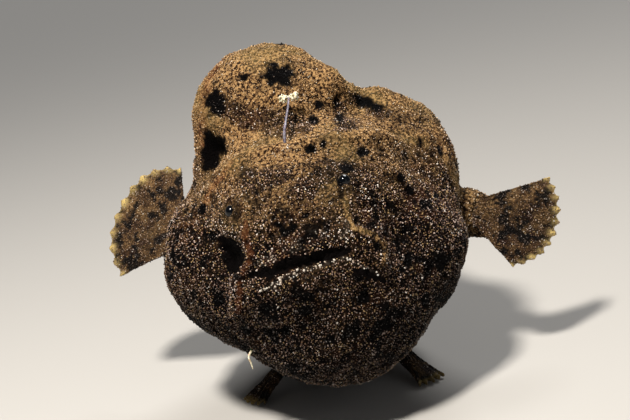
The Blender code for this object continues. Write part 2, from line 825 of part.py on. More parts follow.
def make_ribbon_fin(name, rays, root_at, height_at, lean, finish):
    """A fin along the back or the belly; root_at and height_at take a share of its length."""
    columns = ray_columns(rays, crisp=False)
    rows = 5
    middle = np.zeros((len(columns), rows, 3))
    half = np.zeros((len(columns), rows))
    for number, column in enumerate(columns):
        on_ray = nearness_to_ray(column, rays)
        share = share_across(column, rays)
        rim = 0.90 + 0.10 * on_ray
        for row in range(rows):
            out = row / (rows - 1)
            sway = np.array((0.0018 * math.sin(7 * share) * out, 0.0, 0.0))
            rise = lean(share) * height_at(share) * out * rim
            middle[number, row] = root_at(share) + rise + sway
            half[number, row] = 0.0011 - 0.0006 * out + on_ray * (0.0009 - 0.0004 * out)
    return sheet(name, middle, half, finish)


def make_dorsal_fin():
    """The soft dorsal fin: thirteen rays along the back behind the hump."""

    def root_at(share):
        back = DORSAL_START + (DORSAL_END - DORSAL_START) * share
        sideways = 0.003 + 0.006 * share
        return np.array((sideways, back, back_height(sideways, back) - 0.006))

    def height_at(share):
        return DORSAL_HEIGHT * (0.26 + 0.74 * math.sin(math.pi * (0.05 + 0.75 * share)))

    def lean(share):
        angle = math.radians(40 + 22 * share)
        return np.array((0.0, math.sin(angle), math.cos(angle)))

    return make_ribbon_fin("dorsal_fin", DORSAL_RAYS, root_at, height_at, lean, FIN)


def make_anal_fin():
    """The anal fin: eight rays under the hind trunk."""

    def root_at(share):
        back = ANAL_START + (ANAL_END - ANAL_START) * share
        sideways = 0.008 + 0.003 * share
        return np.array((sideways, back, belly_height(sideways, back) + 0.006))

    def height_at(share):
        return ANAL_HEIGHT * (0.70 + 0.30 * math.sin(math.pi * (0.2 + 0.7 * share)))

    def lean(share):
        angle = math.radians(30 + 22 * share)
        return np.array((0.0, math.sin(angle), -math.cos(angle)))

    return make_ribbon_fin("anal_fin", ANAL_RAYS, root_at, height_at, lean, FIN)


def make_caudal_fin():
    """The tail fin: a rounded fan of nine rays, spread upright and swung a little left."""
    columns = ray_columns(CAUDAL_RAYS)
    rows = 5
    middle = np.zeros((len(columns), rows, 3))
    half = np.zeros((len(columns), rows))
    for number, column in enumerate(columns):
        on_ray = nearness_to_ray(column, CAUDAL_RAYS)
        share = share_across(column, CAUDAL_RAYS)
        angle = math.radians(CAUDAL_SPREAD * (2 * share - 1) - CAUDAL_DROOP)
        length = CAUDAL_LENGTH * (1 - 0.10 * (2 * share - 1) ** 2) * (0.92 + 0.08 * on_ray)
        for row in range(rows):
            out = row / (rows - 1)
            start = CAUDAL_ROOT + np.array((0.0, 0.0, 0.0155 * (2 * share - 1)))
            way = np.array((0.0, math.cos(angle), math.sin(angle)))
            swing = np.array((0.006 * out + 0.006 * out * out, 0.0, 0.0))
            middle[number, row] = start + way * length * out + swing
            half[number, row] = 0.0016 - 0.0010 * out + on_ray * (0.0010 - 0.0004 * out)
    return sheet("caudal_fin", middle, half, FIN)


def ball(name, centre, radius, finish=None):
    """A ball as a thing of its own."""
    shape = bmesh.new()
    bmesh.ops.create_icosphere(shape, subdivisions=3, radius=radius)
    bmesh.ops.translate(shape, verts=shape.verts, vec=Vector(centre))
    mesh = bpy.data.meshes.new(name)
    shape.to_mesh(mesh)
    shape.free()
    return add_object(name, mesh, finish)


def make_eye(side):
    """One eyeball."""
    return ball(f"eye_{SIDE_NAMES[side]}", eye_centre(side), EYE_RADIUS, EYE)


def open_sockets(head):
    """Cut a socket for each eyeball out of the head."""
    radius = EYE_RADIUS + GAP * 1.15
    for side in (-1, 1):
        socket = ball(f"socket_{side}", eye_centre(side), radius)
        combine(head, [socket], "DIFFERENCE")


def make_illicium():
    """The slender fishing rod, laid back over the crown, with its tufted bait."""
    bends = (
        (-0.0010, -0.0380, 0.1320),
        (-0.0010, -0.0400, 0.1430),
        (-0.0005, -0.0300, 0.1490),
        (0.0000, -0.0170, 0.1540),
        (0.0000, -0.0110, 0.1570),
    )
    path = smooth_path(bends, 11)
    radii = (0.0011, 0.0008, 0.0007)
    rod = limb("illicium", path, radii, radii, (1, 0, 0), 6, PALE)
    lobes = []
    draw = np.random.default_rng(4)
    for number in range(6):
        angle = math.tau * number / 6 + draw.uniform(-0.3, 0.3)
        way = unit((math.cos(angle) * 0.9, 0.15, 0.55 + 0.5 * math.sin(angle)))
        length = draw.uniform(0.0040, 0.0062)
        start = path[-1] - way * 0.0006
        lobe_path = smooth_path((start, start + way * length * 0.5, start + way * length), 3)
        sizes = (0.0009, 0.0012, 0.0004)
        lobes.append(limb(f"lobe_{number}", lobe_path, sizes, sizes, (0.1, 1, 0.2), 5, None))
    combine(rod, lobes, "UNION")
    return rod


def make_second_dorsal_spine():
    """The short stout spine behind the rod, curved back towards the hump."""
    bends = (
        (-0.0040, -0.0200, 0.1280),
        (-0.0042, -0.0215, 0.1390),
        (-0.0046, -0.0150, 0.1475),
        (-0.0050, -0.0080, 0.1510),
    )
    path = smooth_path(bends, 7)
    sizes_across = (0.0046, 0.0042, 0.0032, 0.0018)
    sizes_along = (0.0070, 0.0056, 0.0036, 0.0018)
    return limb("second_dorsal_spine", path, sizes_across, sizes_along, (1, 0, 0), 12, SKIN)


def stand_on_origin():
    """Move everything so that the middle of the whole stands over the origin."""
    things = [thing for thing in bpy.data.objects if thing.type == "MESH"]
    corners = np.array([vertex.co for thing in things for vertex in thing.data.vertices])
    middle = (corners.min(axis=0) + corners.max(axis=0)) / 2
    move = Matrix.Translation((-middle[0], -middle[1], 0.0))
    for thing in things:
        thing.data.transform(move)


def main():
    for thing in list(bpy.data.objects):
        bpy.data.objects.remove(thing)
    trunk = make_trunk()
    tail = make_tail()
    head = trunk["head"]
    torso = trunk["torso"]
    hump = trunk["third_dorsal_spine"]
    open_sockets(head)
    for side in (-1, 1):
        make_eye(side)
        arm = make_pectoral_arm(side)
        seat(arm, torso, head)
        hand = make_pectoral_fin(side)
        seat(hand, arm, torso, head)
        seat(make_pelvic_fin(side), torso, head, trunk["lower_jaw"])
    tail_fin = make_caudal_fin()
    seat(tail_fin, tail)
    seat(make_dorsal_fin(), torso, hump, tail, tail_fin)
    seat(make_anal_fin(), torso, tail, tail_fin)
    spine = make_second_dorsal_spine()
    seat(spine, head, hump, torso)
    seat(make_illicium(), head, spine, hump)
    stand_on_origin()


main()
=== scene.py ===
# %% [markdown]
# # A giant frogfish at life size
#
# A giant frogfish is a stout, warty fish that sits on the bottom and props itself on
# hand-like fins.  Its mouth turns down, its eyes are tiny, and a thin rod with a pale
# bait lies on its brow.  This lesson dresses a solid model of one: it grows one skin
# over the parted solids, folds and pits it, marks it, beads it with fine granules, and
# then makes the fins, the eyes and the lure.

# %% Load the solids
import math
from contextlib import contextmanager
from functools import partial
from itertools import pairwise

import bpy
import numpy as np
from mathutils import Matrix, Vector, noise
from mathutils.bvhtree import BVHTree


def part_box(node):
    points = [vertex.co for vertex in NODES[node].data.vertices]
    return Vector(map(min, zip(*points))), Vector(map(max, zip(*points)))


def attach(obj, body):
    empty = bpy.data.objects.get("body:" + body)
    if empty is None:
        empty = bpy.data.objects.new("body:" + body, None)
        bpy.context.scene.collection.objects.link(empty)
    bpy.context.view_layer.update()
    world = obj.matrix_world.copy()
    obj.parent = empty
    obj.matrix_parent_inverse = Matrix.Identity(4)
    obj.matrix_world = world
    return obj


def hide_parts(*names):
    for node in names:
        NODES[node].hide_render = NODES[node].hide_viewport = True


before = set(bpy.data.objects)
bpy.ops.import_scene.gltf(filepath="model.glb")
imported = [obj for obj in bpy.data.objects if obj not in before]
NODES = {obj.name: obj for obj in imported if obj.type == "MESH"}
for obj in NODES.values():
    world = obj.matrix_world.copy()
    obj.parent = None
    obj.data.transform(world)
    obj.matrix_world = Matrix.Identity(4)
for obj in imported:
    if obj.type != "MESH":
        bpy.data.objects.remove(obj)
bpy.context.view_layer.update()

# %% [markdown]
# ## The camera
#
# The fish is met head-on, from a little above and a little from its left side, with
# the camera rolled so that the fish leans.  The camera comes first, because the folds,
# the blotches and the lips are placed by where the photo shows them: a line is cast
# from the camera through a place in the photo until it meets the skin.

# %% Place the camera
PHOTO_WIDTH = 630
PHOTO_HEIGHT = 420
FOCUS = 1200.0
SENSOR = 36.0
AZIMUTH = math.radians(8)
ELEVATION = math.radians(14)
ROLL = math.radians(10)
DISTANCE = 0.60
# The fins' own places are counted from a point under the snout; this is where it lies.
MIDDLE = np.array((-0.0004, -0.0700, 0.0))
LOOKED_AT = Vector(MIDDLE) + Vector((0.0015, 0.0, 0.0970))

FORWARD = Vector((
    -math.sin(AZIMUTH) * math.cos(ELEVATION),
    math.cos(AZIMUTH) * math.cos(ELEVATION),
    -math.sin(ELEVATION),
))
STAND = LOOKED_AT - FORWARD * DISTANCE
LEVEL = Vector((math.cos(AZIMUTH), math.sin(AZIMUTH), 0))
RIGHT = LEVEL * math.cos(ROLL) - LEVEL.cross(FORWARD) * math.sin(ROLL)
UP = LEVEL * math.sin(ROLL) + LEVEL.cross(FORWARD) * math.cos(ROLL)


# The same directions as rows of numbers, for sums over many places.
ACROSS, UPWARDS, AWAY = (np.array(way) for way in (RIGHT, UP, FORWARD))


def new_object(name, data):
    """A new object in the scene."""
    thing = bpy.data.objects.new(name, data)
    bpy.context.scene.collection.objects.link(thing)
    return thing


def place_camera():
    """The camera at the photo's viewing angle."""
    lens = bpy.data.cameras.new("camera")
    lens.sensor_width = SENSOR
    lens.lens = FOCUS / PHOTO_WIDTH * SENSOR
    lens.clip_start = 0.01
    camera = new_object("camera", lens)
    turn = Matrix((RIGHT, UP, -FORWARD)).transposed()
    camera.matrix_world = Matrix.Translation(STAND) @ turn.to_4x4()
    bpy.context.scene.camera = camera
    return camera


CAMERA = place_camera()
print("camera at", [round(value, 3) for value in STAND], "lens", round(CAMERA.data.lens, 1))


# %% See where the photo's places fall on the skin
def seen(tree, across, down):
    """The point of a surface that shows at these pixels of the photo, and a pixel's width."""
    aside = RIGHT * ((across - PHOTO_WIDTH / 2) / FOCUS)
    lower = UP * ((down - PHOTO_HEIGHT / 2) / FOCUS)
    point, _, _, _ = tree.ray_cast(STAND, (FORWARD + aside - lower).normalized())
    if point is None:
        raise ValueError(f"nothing shows at {across}, {down}")
    return np.array(point), (point - STAND).dot(FORWARD) / FOCUS


def pixels(places):
    """Where the camera sees each place, in the photo's pixels."""
    offset = places - np.array(STAND)
    depth = offset @ AWAY
    across = PHOTO_WIDTH / 2 + FOCUS * (offset @ ACROSS) / depth
    down = PHOTO_HEIGHT / 2 - FOCUS * (offset @ UPWARDS) / depth
    return np.stack((across, down), axis=1)


# %% [markdown]
# ## Small tools
#
# A few steps come back all through the lesson: selecting one thing alone, applying a
# modifier, reading or writing all corners of a mesh at once, and soft noise.

# %% Select, edit, apply, read and write
def only(*things):
    """Select these things alone, the first as the active one."""
    bpy.ops.object.select_all(action="DESELECT")
    for thing in things:
        thing.select_set(True)
    if things:
        bpy.context.view_layer.objects.active = things[0]


@contextmanager
def editing(thing):
    """Edit mode with all of the thing selected, for the lines under this one."""
    only(thing)
    bpy.ops.object.mode_set(mode="EDIT")
    bpy.ops.mesh.select_all(action="SELECT")
    yield
    bpy.ops.object.mode_set(mode="OBJECT")


def outward(thing):
    """Turn all faces of a closed piece outwards."""
    with editing(thing):
        bpy.ops.mesh.normals_make_consistent(inside=False)


def grid(name, columns, rows):
    """A flat grid, and how far across and along it each corner lies, from 0 to 1."""
    only()
    bpy.ops.mesh.primitive_grid_add(x_subdivisions=columns, y_subdivisions=rows, size=1)
    made = bpy.context.active_object
    made.name = name
    flat = corners(made) + 0.5
    return made, flat[:, 0], flat[:, 1]


def apply(thing, kind, **settings):
    """Put a modifier on the thing and carry it out."""
    only(thing)
    step = thing.modifiers.new(kind.lower(), kind)
    for name, value in settings.items():
        setattr(step, name, value)
    bpy.ops.object.modifier_apply(modifier=step.name)


def read(rows, name, wide, kind=np.float32):
    """One property of all rows of a mesh, with so many numbers to a row."""
    values = np.empty(len(rows) * wide, kind)
    rows.foreach_get(name, values)
    return values.reshape(-1, wide)


def corners(thing, what="co"):
    """Three numbers for each corner of a mesh: its place, or its normal."""
    return read(thing.data.vertices, what, 3).astype(float)


def move_corners(thing, places):
    """Write all corners of a mesh."""
    thing.data.vertices.foreach_set("co", np.asarray(places, np.float32).ravel())
    thing.data.update()


def store(thing, name, values):
    """Keep one number for each corner, for the finish to read."""
    layer = thing.data.attributes.get(name) or thing.data.attributes.new(name, "FLOAT", "POINT")
    layer.data.foreach_set("value", np.asarray(values, np.float32))


def stored(thing, name):
    """Read such numbers back."""
    return read(thing.data.attributes[name].data, "value", 1)[:, 0]


def tree_of(thing):
    """A search tree of the thing's surface."""
    faces = [tuple(face.vertices) for face in thing.data.polygons]
    return BVHTree.FromPolygons([tuple(place) for place in corners(thing)], faces)


# %% Noise, steps and lines
# Places of the face lie in front of this; a band of the photo marks nothing behind it.
FACE_DEPTH = -0.030
# A band fades out over this share of its half width, and ends at that multiple of it.
BAND_FADE = 0.5
BAND_REACH = 1.25
NOISE_SHIFT = Vector((3.1, 7.7, 1.3))


def grain(places, waves, seed=0):
    """Soft noise between about -1 and 1, with so many waves to the metre."""
    shift = NOISE_SHIFT * seed
    return np.array([noise.noise(Vector(place) * waves + shift) for place in places])


def layered(places, layers):
    """Noises added up; each layer is its share, its waves to the metre and its seed."""
    return sum(share * grain(places, waves, seed) for share, waves, seed in layers)


def cells(places, waves):
    """Distance to the nearest of scattered points, and that point's own number."""
    found = [noise.voronoi(Vector(place) * waves) for place in places]
    gaps = np.array([gap[0] for gap, _ in found])
    own = np.array([noise.cell(points[0] * 7.3) for _, points in found])
    return gaps, own


def smooth_step(values, low, high):
    """Zero below low, one above high, and a soft rise between them."""
    share = np.clip((values - low) / (high - low), 0, 1)
    return share * share * (3 - 2 * share)


def bell(values, middle, width):
    """One at the middle, and a soft fall to nothing at about twice the width from it."""
    return np.exp(-(((values - middle) / width) ** 2))


def apart(places, middle):
    """Distance of each place from a point."""
    return np.linalg.norm(places - middle, axis=1)


def beside(places, start, end):
    """Distance of each place from a straight line, and its share of the way along."""
    along = end - start
    share = np.clip((places - start) @ along / (along @ along), 0, 1)
    return apart(places - start, share[:, None] * along), share


def in_bands(places, bands, rough=0):
    """One along any band of the photo; a band's rows are across, down and half width."""
    spots = pixels(places)
    best = np.full(len(places), np.inf)
    for band in bands:
        rows = np.array(band, dtype=float)
        for start, end in pairwise(rows):
            gap, share = beside(spots, start[:2], end[:2])
            best = np.minimum(best, gap / (start[2] + (end[2] - start[2]) * share))
    facing = places[:, 1] < FACE_DEPTH
    return facing * smooth_step(BAND_REACH - best + rough, 0, BAND_FADE)


def unit(vectors):
    """A vector, or each row of several, at length one."""
    vectors = np.asarray(vectors, dtype=float)
    return vectors / np.linalg.norm(vectors, axis=-1, keepdims=True)


# %% [markdown]
# ## One skin over all the flesh
#
# On the real fish the skin runs without a seam over head, jaws, hump, trunk, arms and
# tail.  Copies of those solids are merged, grown a little so that they overlap, and
# joined.  A voxel remesh then makes one closed surface of them.  It is even all over,
# so only the face, which is looked at closely, is subdivided once more.

# %% Join the flesh
FLESH = (
    "head", "lower_jaw", "torso", "third_dorsal_spine", "second_dorsal_spine", "tail",
    "pectoral_arm_left", "pectoral_arm_right",
)
BRIDGE = 0.0004
WELD = 0.000001
VOXEL = 0.00175
# Only what lies in front of this is subdivided.
FACE_END = -0.077


def merged_copy(name):
    """A copy of a solid with its loose triangles merged."""
    thing = NODES[name].copy()
    thing.data = NODES[name].data.copy()
    thing.parent = None
    bpy.context.scene.collection.objects.link(thing)
    with editing(thing):
        bpy.ops.mesh.remove_doubles(threshold=WELD)
    return thing


def make_skin():
    """One closed skin over all solids of flesh."""
    copies = [merged_copy(name) for name in FLESH]
    for thing in copies:
        apply(thing, "DISPLACE", strength=BRIDGE, mid_level=0.0)
    only(*copies)
    bpy.ops.object.join()
    skin = bpy.context.active_object
    skin.name = "skin"
    skin.data.name = "skin"
    for key in list(skin.keys()):
        del skin[key]
    skin.data.materials.clear()
    apply(skin, "REMESH", mode="VOXEL", voxel_size=VOXEL)
    apply(skin, "SMOOTH", factor=0.5, iterations=3)
    return skin


SKIN = make_skin()
print("skin:", len(SKIN.data.polygons), "faces")


# %% Refine the face
def refine_face(skin):
    """Split every face of the front in four and round the new corners."""
    with editing(skin):
        bpy.ops.mesh.select_mode(type="FACE")
        bpy.ops.mesh.select_all(action="DESELECT")
    for face in skin.data.polygons:
        face.select = face.center.y < FACE_END
    bpy.ops.object.mode_set(mode="EDIT")
    bpy.ops.mesh.subdivide(number_cuts=1)
    bpy.ops.object.mode_set(mode="OBJECT")
    apply(skin, "SMOOTH", factor=0.5, iterations=2)
    apply(skin, "TRIANGULATE")


refine_face(SKIN)
BARE = tree_of(SKIN)
print("skin refined:", len(SKIN.data.polygons), "triangles")

# %% [markdown]
# ## Folds, pits and pebbles
#
# The skin is rough at every scale.  A frogfish mimics a sponge: it has deep hollows
# like the sponge's mouths, folds of a centimetre, low warts, and small pores between
# the granules.  All of them are moved into the mesh here; the folds and hollows stand
# where the photo shows them.

# %% Where the folds and the hollows are
# Each fold: its height in metres, half its width in pixels, and its line in the photo.
FOLDS = (
    (0.0020, 7, ((247, 222), (245, 237), (251, 257), (240, 282), (238, 311))),
    (0.0016, 6, ((344, 190), (347, 213), (353, 228), (373, 234), (385, 246), (384, 262))),
    (0.0017, 9, ((228, 168), (250, 150), (290, 145), (330, 138), (380, 133), (428, 138))),
    (0.0012, 8, ((262, 176), (272, 200), (268, 226))),
    (0.0060, 20, ((331, 82), (344, 94), (358, 97), (376, 98))),
    (-0.0016, 5, ((337, 100), (339, 124))),
    (-0.0014, 4, ((318, 107), (316, 122))),
    (-0.0015, 5, ((395, 178), (404, 188), (412, 200))),
    (-0.0012, 6, ((420, 225), (432, 250), (428, 280))),
)
# Each hollow: across and down in the photo, half its width and height, and its depth.
HOLLOWS = (
    (232, 253, 11, 18, 0.0052),
    (211, 152, 11, 21, 0.0050),
    (405, 232, 6, 7, 0.0018),
    (408, 260, 4, 9, 0.0018),
    (367, 205, 9, 5, 0.0016),
)
# Each spot: across and down in the photo, then half its width and half its height.
# The spots at 232, 254 and at 211, 152 are painted shade in the two deepest hollows;
# the others are dark marks of the skin.
SPOTS = (
    (215, 103, 13, 16), (279, 75, 17, 13), (243, 78, 5, 5), (361, 99, 10, 6), (377, 108, 9, 6),
    (369, 104, 11, 7), (319, 105, 5, 7), (314, 121, 6, 6), (336, 103, 4, 8), (340, 118, 4, 7),
    (310, 149, 7, 5), (323, 144, 5, 5), (363, 152, 7, 5), (347, 168, 8, 5), (340, 182, 4, 6),
    (401, 178, 5, 5), (410, 190, 5, 7), (420, 141, 4, 6), (440, 150, 4, 7), (436, 197, 4, 5),
    (423, 206, 4, 6), (203, 208, 6, 6), (277, 224, 6, 4), (285, 232, 6, 5), (293, 226, 4, 4),
    (305, 216, 4, 5), (212, 236, 5, 5), (405, 232, 6, 7), (376, 247, 5, 5), (408, 261, 4, 9),
    (310, 296, 7, 5), (265, 310, 6, 9), (306, 312, 8, 6), (363, 298, 7, 8), (285, 331, 7, 6),
    (425, 300, 5, 8), (330, 340, 6, 5), (232, 254, 10, 19), (211, 152, 11, 22), (245, 330, 7, 6),
    (385, 325, 6, 6), (218, 300, 5, 8),
)
# A spot's depth, as a share of its half size.
SPOT_DEPTH = 0.20
EYES = {}
for side in ("left", "right"):
    EYES[side] = np.mean(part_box(f"eye_{side}"), axis=0)


def near_eyes(places, radius):
    """One at an eye, fading to nothing at about twice this radius."""
    gaps = [apart(places, middle) for middle in EYES.values()]
    return bell(np.min(gaps, axis=0), 0, radius)


def squared_gap(places, middle, wide, high, deep):
    """Squared distance from a middle, counted in half sizes across, up and away."""
    offset = places - middle
    far = (offset @ ACROSS / wide) ** 2 + (offset @ UPWARDS / high) ** 2
    return far + (offset @ AWAY / deep) ** 2


def photo_relief(places):
    """Folds, hollows and shallow spots where the photo shows them."""
    lift = np.zeros(len(places))
    for height, half, line in FOLDS:
        found = [seen(BARE, *place) for place in line]
        points, pixel = [point for point, _ in found], found[0][1]
        gaps = [beside(places, *pair)[0] for pair in pairwise(points)]
        lift += height * bell(np.min(gaps, axis=0), 0, half * pixel)
    for across, down, wide, high, *own in HOLLOWS + SPOTS:
        middle, pixel = seen(BARE, across, down)
        depth = own[0] if own else SPOT_DEPTH * min(wide, high) * pixel
        deep = 1.6 * max(wide * pixel, high * pixel) + 0.003
        far = squared_gap(places, middle, wide * pixel, high * pixel, deep)
        lift -= depth * np.exp(-1.1 * far)
    return lift


# %% Move them into the mesh
# The fine relief: heights and depths in metres, and waves to the metre.
PEBBLE_HEIGHT, PEBBLE_WAVES = 0.0007, 420
PORE_DEPTH, PORE_WAVES = 0.0007, 270
PORE_SHARE = 0.62
WART_HEIGHT, WART_WAVES = 0.0013, 150
SWELL_HEIGHT, SWELL_WAVES = 0.0008, 75
CREASE_DEPTH, CREASE_WAVES = 0.0008, 120
CREASE_WIDTH = 0.12
SOCKET_DEPTH, SOCKET_RADIUS = 0.0010, 0.0052
CALM_RADIUS = 0.0062
SINK = -0.0006
LOWEST = 0.0002


def pore_at(places):
    """One in the dark pores, each two to four millimetres wide."""
    gaps, own = cells(places, PORE_WAVES)
    size = 0.30 + 0.34 * own
    return smooth_step(size - gaps, 0.0, 0.12) * (own < PORE_SHARE)


def raise_skin(skin):
    """Move the skin's corners in and out along its normals."""
    places = corners(skin)
    gaps, _ = cells(places, PEBBLE_WAVES)
    fine = PEBBLE_HEIGHT * (0.5 - np.clip(gaps, 0, 1)) - PORE_DEPTH * pore_at(places)
    fine += WART_HEIGHT * np.clip(grain(places, WART_WAVES, seed=1), 0, 1) ** 1.5
    fine += SWELL_HEIGHT * grain(places, SWELL_WAVES, seed=2)
    creases = np.abs(grain(places, CREASE_WAVES, seed=5)) / CREASE_WIDTH
    fine -= CREASE_DEPTH * np.clip(1 - creases, 0, 1)
    lift = SINK + (fine + photo_relief(places)) * (1 - near_eyes(places, CALM_RADIUS))
    lift = lift - SOCKET_DEPTH * near_eyes(places, SOCKET_RADIUS)
    places = places + corners(skin, "normal") * lift[:, None]
    places[:, 2] = np.maximum(places[:, 2], LOWEST)
    move_corners(skin, places)


raise_skin(SKIN)
TREE = tree_of(SKIN)
print("skin folded, pitted and pebbled")

# %% [markdown]
# ## Markings
#
# The fish looks like a sponge-covered stone: tan above, blackish below, with ragged
# black spots like the holes of a sponge, and bright granules along its lower lip.  Shade
# is painted in as well: the throat, chin and belly are darkened, and the mouth's slit and
# the two deepest hollows are painted near black.  Each marking is a number kept at
# every corner of the skin, worked out by a function of the place, so that the granules
# and the fins take the same markings.

# %% Work out the markings at any place
# A ring of small specks: across, down, radius and half width of the ring.
RING_SPOT = (367, 216, 12, 4)
# A pale spot under the rod.
BROW_PIXELS = (286, 147)
# More spots, drawn by chance behind this place.
HIDDEN_SPOTS = 90
HIDDEN_FROM = -0.050
LIP_BAND = (
    (262, 290, 2), (270, 287, 3), (284, 278, 3), (292, 276, 3), (304, 268, 3), (315, 268, 3),
    (327, 262, 3), (341, 257, 3), (349, 261, 2), (363, 267, 2), (378, 274, 2), (383, 276, 1.5),
)
# Painted shade, near black: the slit of the open mouth, the shade under its left corner and the
# two deepest hollows.
GAPE_BANDS = (
    ((250, 275, 2), (270, 273, 6), (290, 264, 7), (317, 258, 6.5), (335, 254, 5.5), (349, 250, 3)),
    ((355, 270, 2.5), (368, 274, 4), (384, 281, 2.5)),
    ((221, 239, 4), (231, 245, 7), (236, 257, 9), (235, 268, 6)),
    ((208, 134, 4), (212, 145, 9), (212, 155, 9), (207, 168, 5)),
    ((221, 140, 4), (224, 152, 4)),
)
# Smooth tan folds and edges, with few granules.
TAN_BANDS = (
    ((345, 190, 2), (347, 213, 2.5), (353, 228, 2.5), (373, 234, 2.5), (385, 246, 3),
     (384, 264, 2)),
    ((250, 150, 5), (290, 145, 5), (312, 140, 5), (350, 136, 6), (380, 133, 7), (430, 140, 7)),
    ((206, 202, 4), (218, 180, 4), (236, 160, 5)),
    ((300, 50, 5), (318, 66, 9), (334, 84, 8), (346, 96, 4)),
    ((425, 118, 6), (450, 160, 8), (466, 196, 6)),
)
# Dark ground with whitish granules, in the tan part of the fish.
SPECKLED_BANDS = (
    ((226, 110, 8), (252, 118, 11), (284, 124, 13), (304, 126, 8)),
    ((338, 104, 5), (343, 124, 9), (352, 128, 6)),
    ((302, 190, 12), (328, 170, 12), (362, 178, 12), (374, 204, 13)),
    ((352, 98, 6), (382, 114, 7)),
    ((250, 182, 12), (282, 176, 9)),
)
RUST_BANDS = (
    ((222, 52, 5), (208, 74, 6), (202, 108, 5), (204, 146, 4)),
    ((246, 222, 2), (245, 237, 3), (251, 257, 3), (240, 282, 3), (238, 311, 3)),
    ((204, 204, 3), (216, 182, 3), (232, 162, 3)),
)
# White granules on the snout above the mouth.
SNOUT_BAND = ((262, 262, 5), (284, 248, 8), (312, 238, 9), (340, 226, 9), (350, 242, 5))
# The noises that roughen an edge or cloud a surface: share, waves to the metre and seed.
SPOT_EDGE = ((0.50, 210, 3), (0.35, 480, 4), (0.20, 1000, 22))
PATCHES = ((1.0, 105, 26), (0.75, 280, 27))
TAN_CLOUDS = ((0.30, 55, 6), (0.30, 170, 7))
SPECKLED_EDGE = ((0.6, 200, 24), (0.4, 520, 25))
TAN_EDGE = ((0.45, 260, 17),)
RUST_CLOUDS = ((1.0, 48, 9), (0.6, 190, 10))
RUST_EDGE = ((0.7, 300, 18), (0.4, 700, 21))
GAPE_EDGE = ((0.40, 260, 23), (0.40, 620, 19))
# Patches thin out between these heights; the noise is cut off between these levels.
PATCH_HEIGHTS = (0.100, 0.145)
PATCH_LEVELS = (0.26, 0.52)
# The skin turns from dark to tan between these heights, and the arms start this far out.
TAN_HEIGHTS = (0.096, 0.150)
ARMS_OUT = (0.066, 0.076)
ARMS_BEHIND = -0.055
# Painted shade darkens the skin downwards between these heights, given negative.
DIM_HEIGHTS = (-0.108, -0.036)
SPOT_FADE = (-0.10, 0.22)


def hidden_spots():
    """More spots of the same kind, over the sides and the back."""
    draw = np.random.default_rng(11)
    places = corners(SKIN)
    places = places[places[:, 1] > HIDDEN_FROM]
    found = []
    for place in places[draw.integers(0, len(places), HIDDEN_SPOTS)]:
        wide = draw.uniform(0.0015, 0.0060)
        found.append((place, wide, wide * draw.uniform(0.6, 1.5)))
    return found


PHOTO_SPOTS = [(seen(TREE, *spot[:2]), spot[2:]) for spot in SPOTS]
BODY_SPOTS = hidden_spots()
BROW_SPOT = seen(TREE, *BROW_PIXELS)
RING = seen(TREE, *RING_SPOT[:2])


def blotch_at(places):
    """The dark, ragged spots; two of the spots seen in the photo are painted shade in the deepest
    hollows.
    """
    rough = layered(places, SPOT_EDGE)
    low = 1 - 0.55 * smooth_step(places[:, 2], *PATCH_HEIGHTS)
    dark = 0.92 * low * smooth_step(layered(places, PATCHES), *PATCH_LEVELS)
    for (middle, pixel), (wide, high) in PHOTO_SPOTS:
        deep = (1.8 * max(wide, high) + 4) * pixel
        far = squared_gap(places, middle, wide * pixel, high * pixel, deep)
        dark = np.maximum(dark, smooth_step(1 - np.sqrt(far) + rough, *SPOT_FADE))
    for middle, wide, high in BODY_SPOTS:
        far = apart((places - middle) / np.array((wide, wide, high)), 0)
        dark = np.maximum(dark, smooth_step(1 - far + rough, *SPOT_FADE))
    middle, pixel = RING
    far = apart(places, middle) / pixel
    ring = smooth_step(1 - np.abs(far - RING_SPOT[2]) / RING_SPOT[3] + rough, 0.1, 0.7)
    below = smooth_step((places - middle) @ UPWARDS, 0.004, -0.002)
    dark = np.maximum(dark, 0.75 * ring * below)
    return np.maximum(dark, 0.85 * near_eyes(places, 0.0046))


def membrane_at(places):
    """One on the smooth tan folds, where hardly any granules grow."""
    return in_bands(places, TAN_BANDS, layered(places, TAN_EDGE))


def tan_at(places):
    """How tan the skin is: high on the hump and shoulders, low on the chin."""
    height = smooth_step(places[:, 2] + 0.10 * np.maximum(places[:, 1], 0), *TAN_HEIGHTS)
    tan = 0.02 + 0.90 * height + layered(places, TAN_CLOUDS) * (0.15 + 0.75 * height)
    speckled = in_bands(places, SPECKLED_BANDS, layered(places, SPECKLED_EDGE))
    arms = smooth_step(np.abs(places[:, 0]), *ARMS_OUT) * (places[:, 1] > ARMS_BEHIND)
    tan = np.clip(np.maximum(tan, 0.62 * arms), 0, 1) * (1 - 0.85 * speckled)
    return np.clip(np.maximum(tan, 0.85 * membrane_at(places)), 0, 1)


def pale_at(places):
    """Bright granules along the lower lip, and a pale spot under the rod."""
    patchy = smooth_step(grain(places, 620, seed=8), -0.25, 0.20)
    snout = smooth_step(grain(places, 210, seed=28), -0.15, 0.35)
    snout = 0.55 * in_bands(places, (SNOUT_BAND,)) * snout * patchy
    pale = np.maximum(in_bands(places, (LIP_BAND,)) * patchy, snout)
    middle, pixel = BROW_SPOT
    return np.maximum(pale, 0.75 * bell(apart(places, middle) / pixel, 0, 5))


def rust_at(places):
    """Orange along a few folds, and faint rusty clouds at the sides."""
    sides = smooth_step(np.abs(places[:, 0]), 0.030, 0.065)
    faint = smooth_step(layered(places, RUST_CLOUDS) + 0.3 * sides, 0.30, 0.85)
    edged = in_bands(places, RUST_BANDS, layered(places, RUST_EDGE))
    return np.maximum(0.16 * faint, 0.60 * edged)


def dim_at(places):
    """Painted shade: how much darker the throat, the chin's foot and the belly are painted than
    the face.
    """
    sides = 0.45 * smooth_step(np.abs(places[:, 0]), 0.035, 0.070)
    return smooth_step(-places[:, 2], *DIM_HEIGHTS) * (0.85 + sides)


